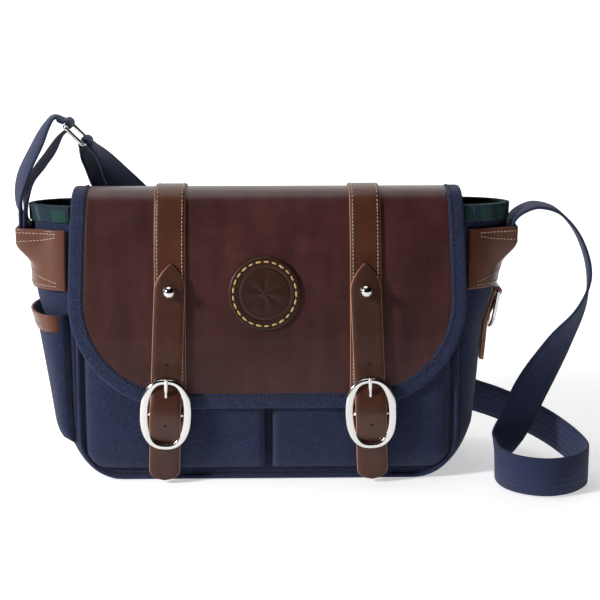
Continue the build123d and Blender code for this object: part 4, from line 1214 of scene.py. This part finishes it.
def wrap(centre, start, end):
    """Stations round a ring's bar, in degrees from +X towards +Z."""
    made = []
    for degrees in spread(start, end, 8):
        a = math.radians(degrees)
        x, z = centre.x + WRAP_RADIUS * math.cos(a), centre.z + WRAP_RADIUS * math.sin(a)
        made.append((x / MM, centre.y / MM, z / MM, 0, -1, 0))
    return made


def paced(values, times, steps):
    """A smooth row of vectors through values that are unevenly spaced in time."""
    last = len(values) - 1
    slopes = []
    for i in range(last + 1):
        a, b = max(i - 1, 0), min(i + 1, last)
        slopes.append((values[b] - values[a]) / (times[b] - times[a]))
    made = []
    for i in range(last):
        gap = times[i + 1] - times[i]
        for k in range(steps):
            t = k / steps
            made.append(values[i] * (2 * t ** 3 - 3 * t * t + 1) + values[i + 1] * (3 * t * t - 2 * t ** 3)
                        + (slopes[i] * (t ** 3 - 2 * t * t + t) + slopes[i + 1] * (t ** 3 - t * t)) * gap)
    return made + [values[-1]]


def webbing(name, route, node):
    """Flat webbing through (x, y, z, width direction) stations in millimetres."""
    stops = [Vector(s[:3]) * MM for s in route]
    times = [0.0]
    for a, b in zip(stops, stops[1:]):
        times.append(times[-1] + (b - a).length)
    middles = paced(stops, times, 6)
    wides = paced([Vector(s[3:]).normalized() for s in route], times, 6)
    rings = []
    for i, middle in enumerate(middles):
        along = (middles[min(i + 1, len(middles) - 1)] - middles[max(i - 1, 0)]).normalized()
        wide = (wides[i] - along * wides[i].dot(along)).normalized()
        out = along.cross(wide).normalized()
        section = band_section(WEBBING / 2, WEB_THICK, 0.0, 0.9 * MM, 8)[0]
        rings.append([middle + wide * x + out * (h - WEB_THICK / 2) for x, h in section])
    finish(loft(name, rings, [WEB]), "bag", "webbing", node)


# ---- Prongs and ball studs

def prong(label, side):
    """The tongue: a round loop on the bar, then an arm over the frame's top."""
    front = BUCKLE_Y - 2.25 * MM - 1.1 * MM
    path = [(BUCKLE_Y - 1 * MM, 2.8), (BUCKLE_Y + 0.2 * MM, 12), (BUCKLE_Y - 1.6 * MM, 20)]
    path += [(front - 0.7 * MM, 26), (front - 0.8 * MM, 31.5), (front - 0.4 * MM, 36.3)]
    line = catmull([leaned(side, 0, y, BUCKLE_Z + z * MM) for y, z in path], 6)
    arm = tube(label + "_arm", line, 1.9 * MM, NICKEL, sides=12)
    ring = [leaned(side, 0, BUCKLE_Y + 2.9 * MM * c, BUCKLE_Z + 2.9 * MM * s) for c, s in circle(24)]
    loop = tube(label + "_loop", ring, 0.7 * MM, NICKEL, closed=True, sides=10)
    finish(join(label + "_tongue", [arm, loop]), label + "_prong", "nickel", label + "_prong")


def ball_stud(label):
    """A ball on a waisted neck, turned from one piece."""
    low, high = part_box(label + "_stud")
    radius = (high.x - low.x) / 2
    profile = [(radius * math.sin(a), radius * (1 - math.cos(a))) for a in spread(0.05, 2.55, 22)]
    neck = profile[-1][1]
    profile += [(2.6 * MM, neck + 1 * MM), (4.2 * MM, neck + 2 * MM), (4.2 * MM, high.y - low.y)]
    origin = Vector(((low.x + high.x) / 2, low.y, (low.z + high.z) / 2))
    ball = lathe(label + "_ball_stud", profile, origin, Vector((0, 1, 0)), [NICKEL])
    finish(ball, "flap", "nickel", label + "_stud")


for label, side in SIDES:
    prong(label, side)
    ball_stud(label)

webbing("shoulder_webbing", ROUTE + wrap(RING_BOTTOM, 180, -15) + RETURN, "shoulder_strap")
webbing("anchor_webbing", ANCHOR_RISE + wrap(RING_TOP, 130, -60) + ANCHOR_FALL, "strap_anchor")


# ---- Metal and board kept from the frame

KEPT = {"base_board": BOARD, "strap_ring": NICKEL, "strap_slider": NICKEL, "d_ring": NICKEL}
for label, side in SIDES:
    KEPT[label + "_stud_screw"] = STEEL
for node, material in KEPT.items():
    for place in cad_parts[node].material_slots:
        place.material = material


# ---- Floor, light and camera

CURVE = [(1.6 + 0.9 * math.sin(a), 0.9 - 0.9 * math.cos(a)) for a in spread(0, math.pi / 2, 16)[1:]]
PROFILE = [(-3.0, 0.0), (1.6, 0.0)] + CURVE + [(2.5, 4.0)]
SWEEP = [[Vector((x, y, z)) for x in spread(-4, 4, 9)] for y, z in PROFILE]
PAPER = plain("pale_paper", (0.86, 0.86, 0.86), 0.5)
floor = cloth("studio_floor", SWEEP, 0.02, [PAPER])


def lamp(name, place, target, size, power):
    data = bpy.data.lights.new(name, "AREA")
    data.energy, data.size = power, size
    obj = bpy.data.objects.new(name, data)
    obj.location = place
    obj.rotation_euler = (Vector(target) - Vector(place)).to_track_quat("-Z", "Y").to_euler()
    bpy.context.collection.objects.link(obj)


lamp("key", (-1.9, -0.95, 1.1), (0, 0, 0.15), 0.35, 46)
lamp("top", (-0.3, 0.3, 2.2), (0, 0, 0), 1.4, 14)
lamp("back_fill", (0, 1.2, 2.0), (0, 2.4, 0.9), 2.0, 20)
world = bpy.data.worlds.new("studio")
world.use_nodes = True
sky = Tree(world.node_tree)
direction = sky.add("ShaderNodeTexCoord", output="Generated")
dot = {"operation": "DOT_PRODUCT"}
lean = sky.add("ShaderNodeVectorMath", dot, direction, (-0.65, 0.3, 0.3), output="Value")
glow = sky.add("ShaderNodeMapRange", None, Value=lean, From_Min=-0.3, From_Max=0.75, To_Min=0.015, To_Max=0.9)
sky.put(sky.nodes["Background"].inputs["Strength"], glow)
bpy.context.scene.world = world
bpy.context.scene.view_settings.view_transform = "Standard"

camera = bpy.data.objects.new("camera", bpy.data.cameras.new("camera"))
camera.location = (0, -1.505, 0.515)
camera.rotation_euler = (math.radians(77.02), 0, math.radians(-1.23))
camera.data.lens = 92.2
camera.data.sensor_width = 36
bpy.context.collection.objects.link(camera)
bpy.context.scene.camera = camera

bpy.context.view_layer.update()
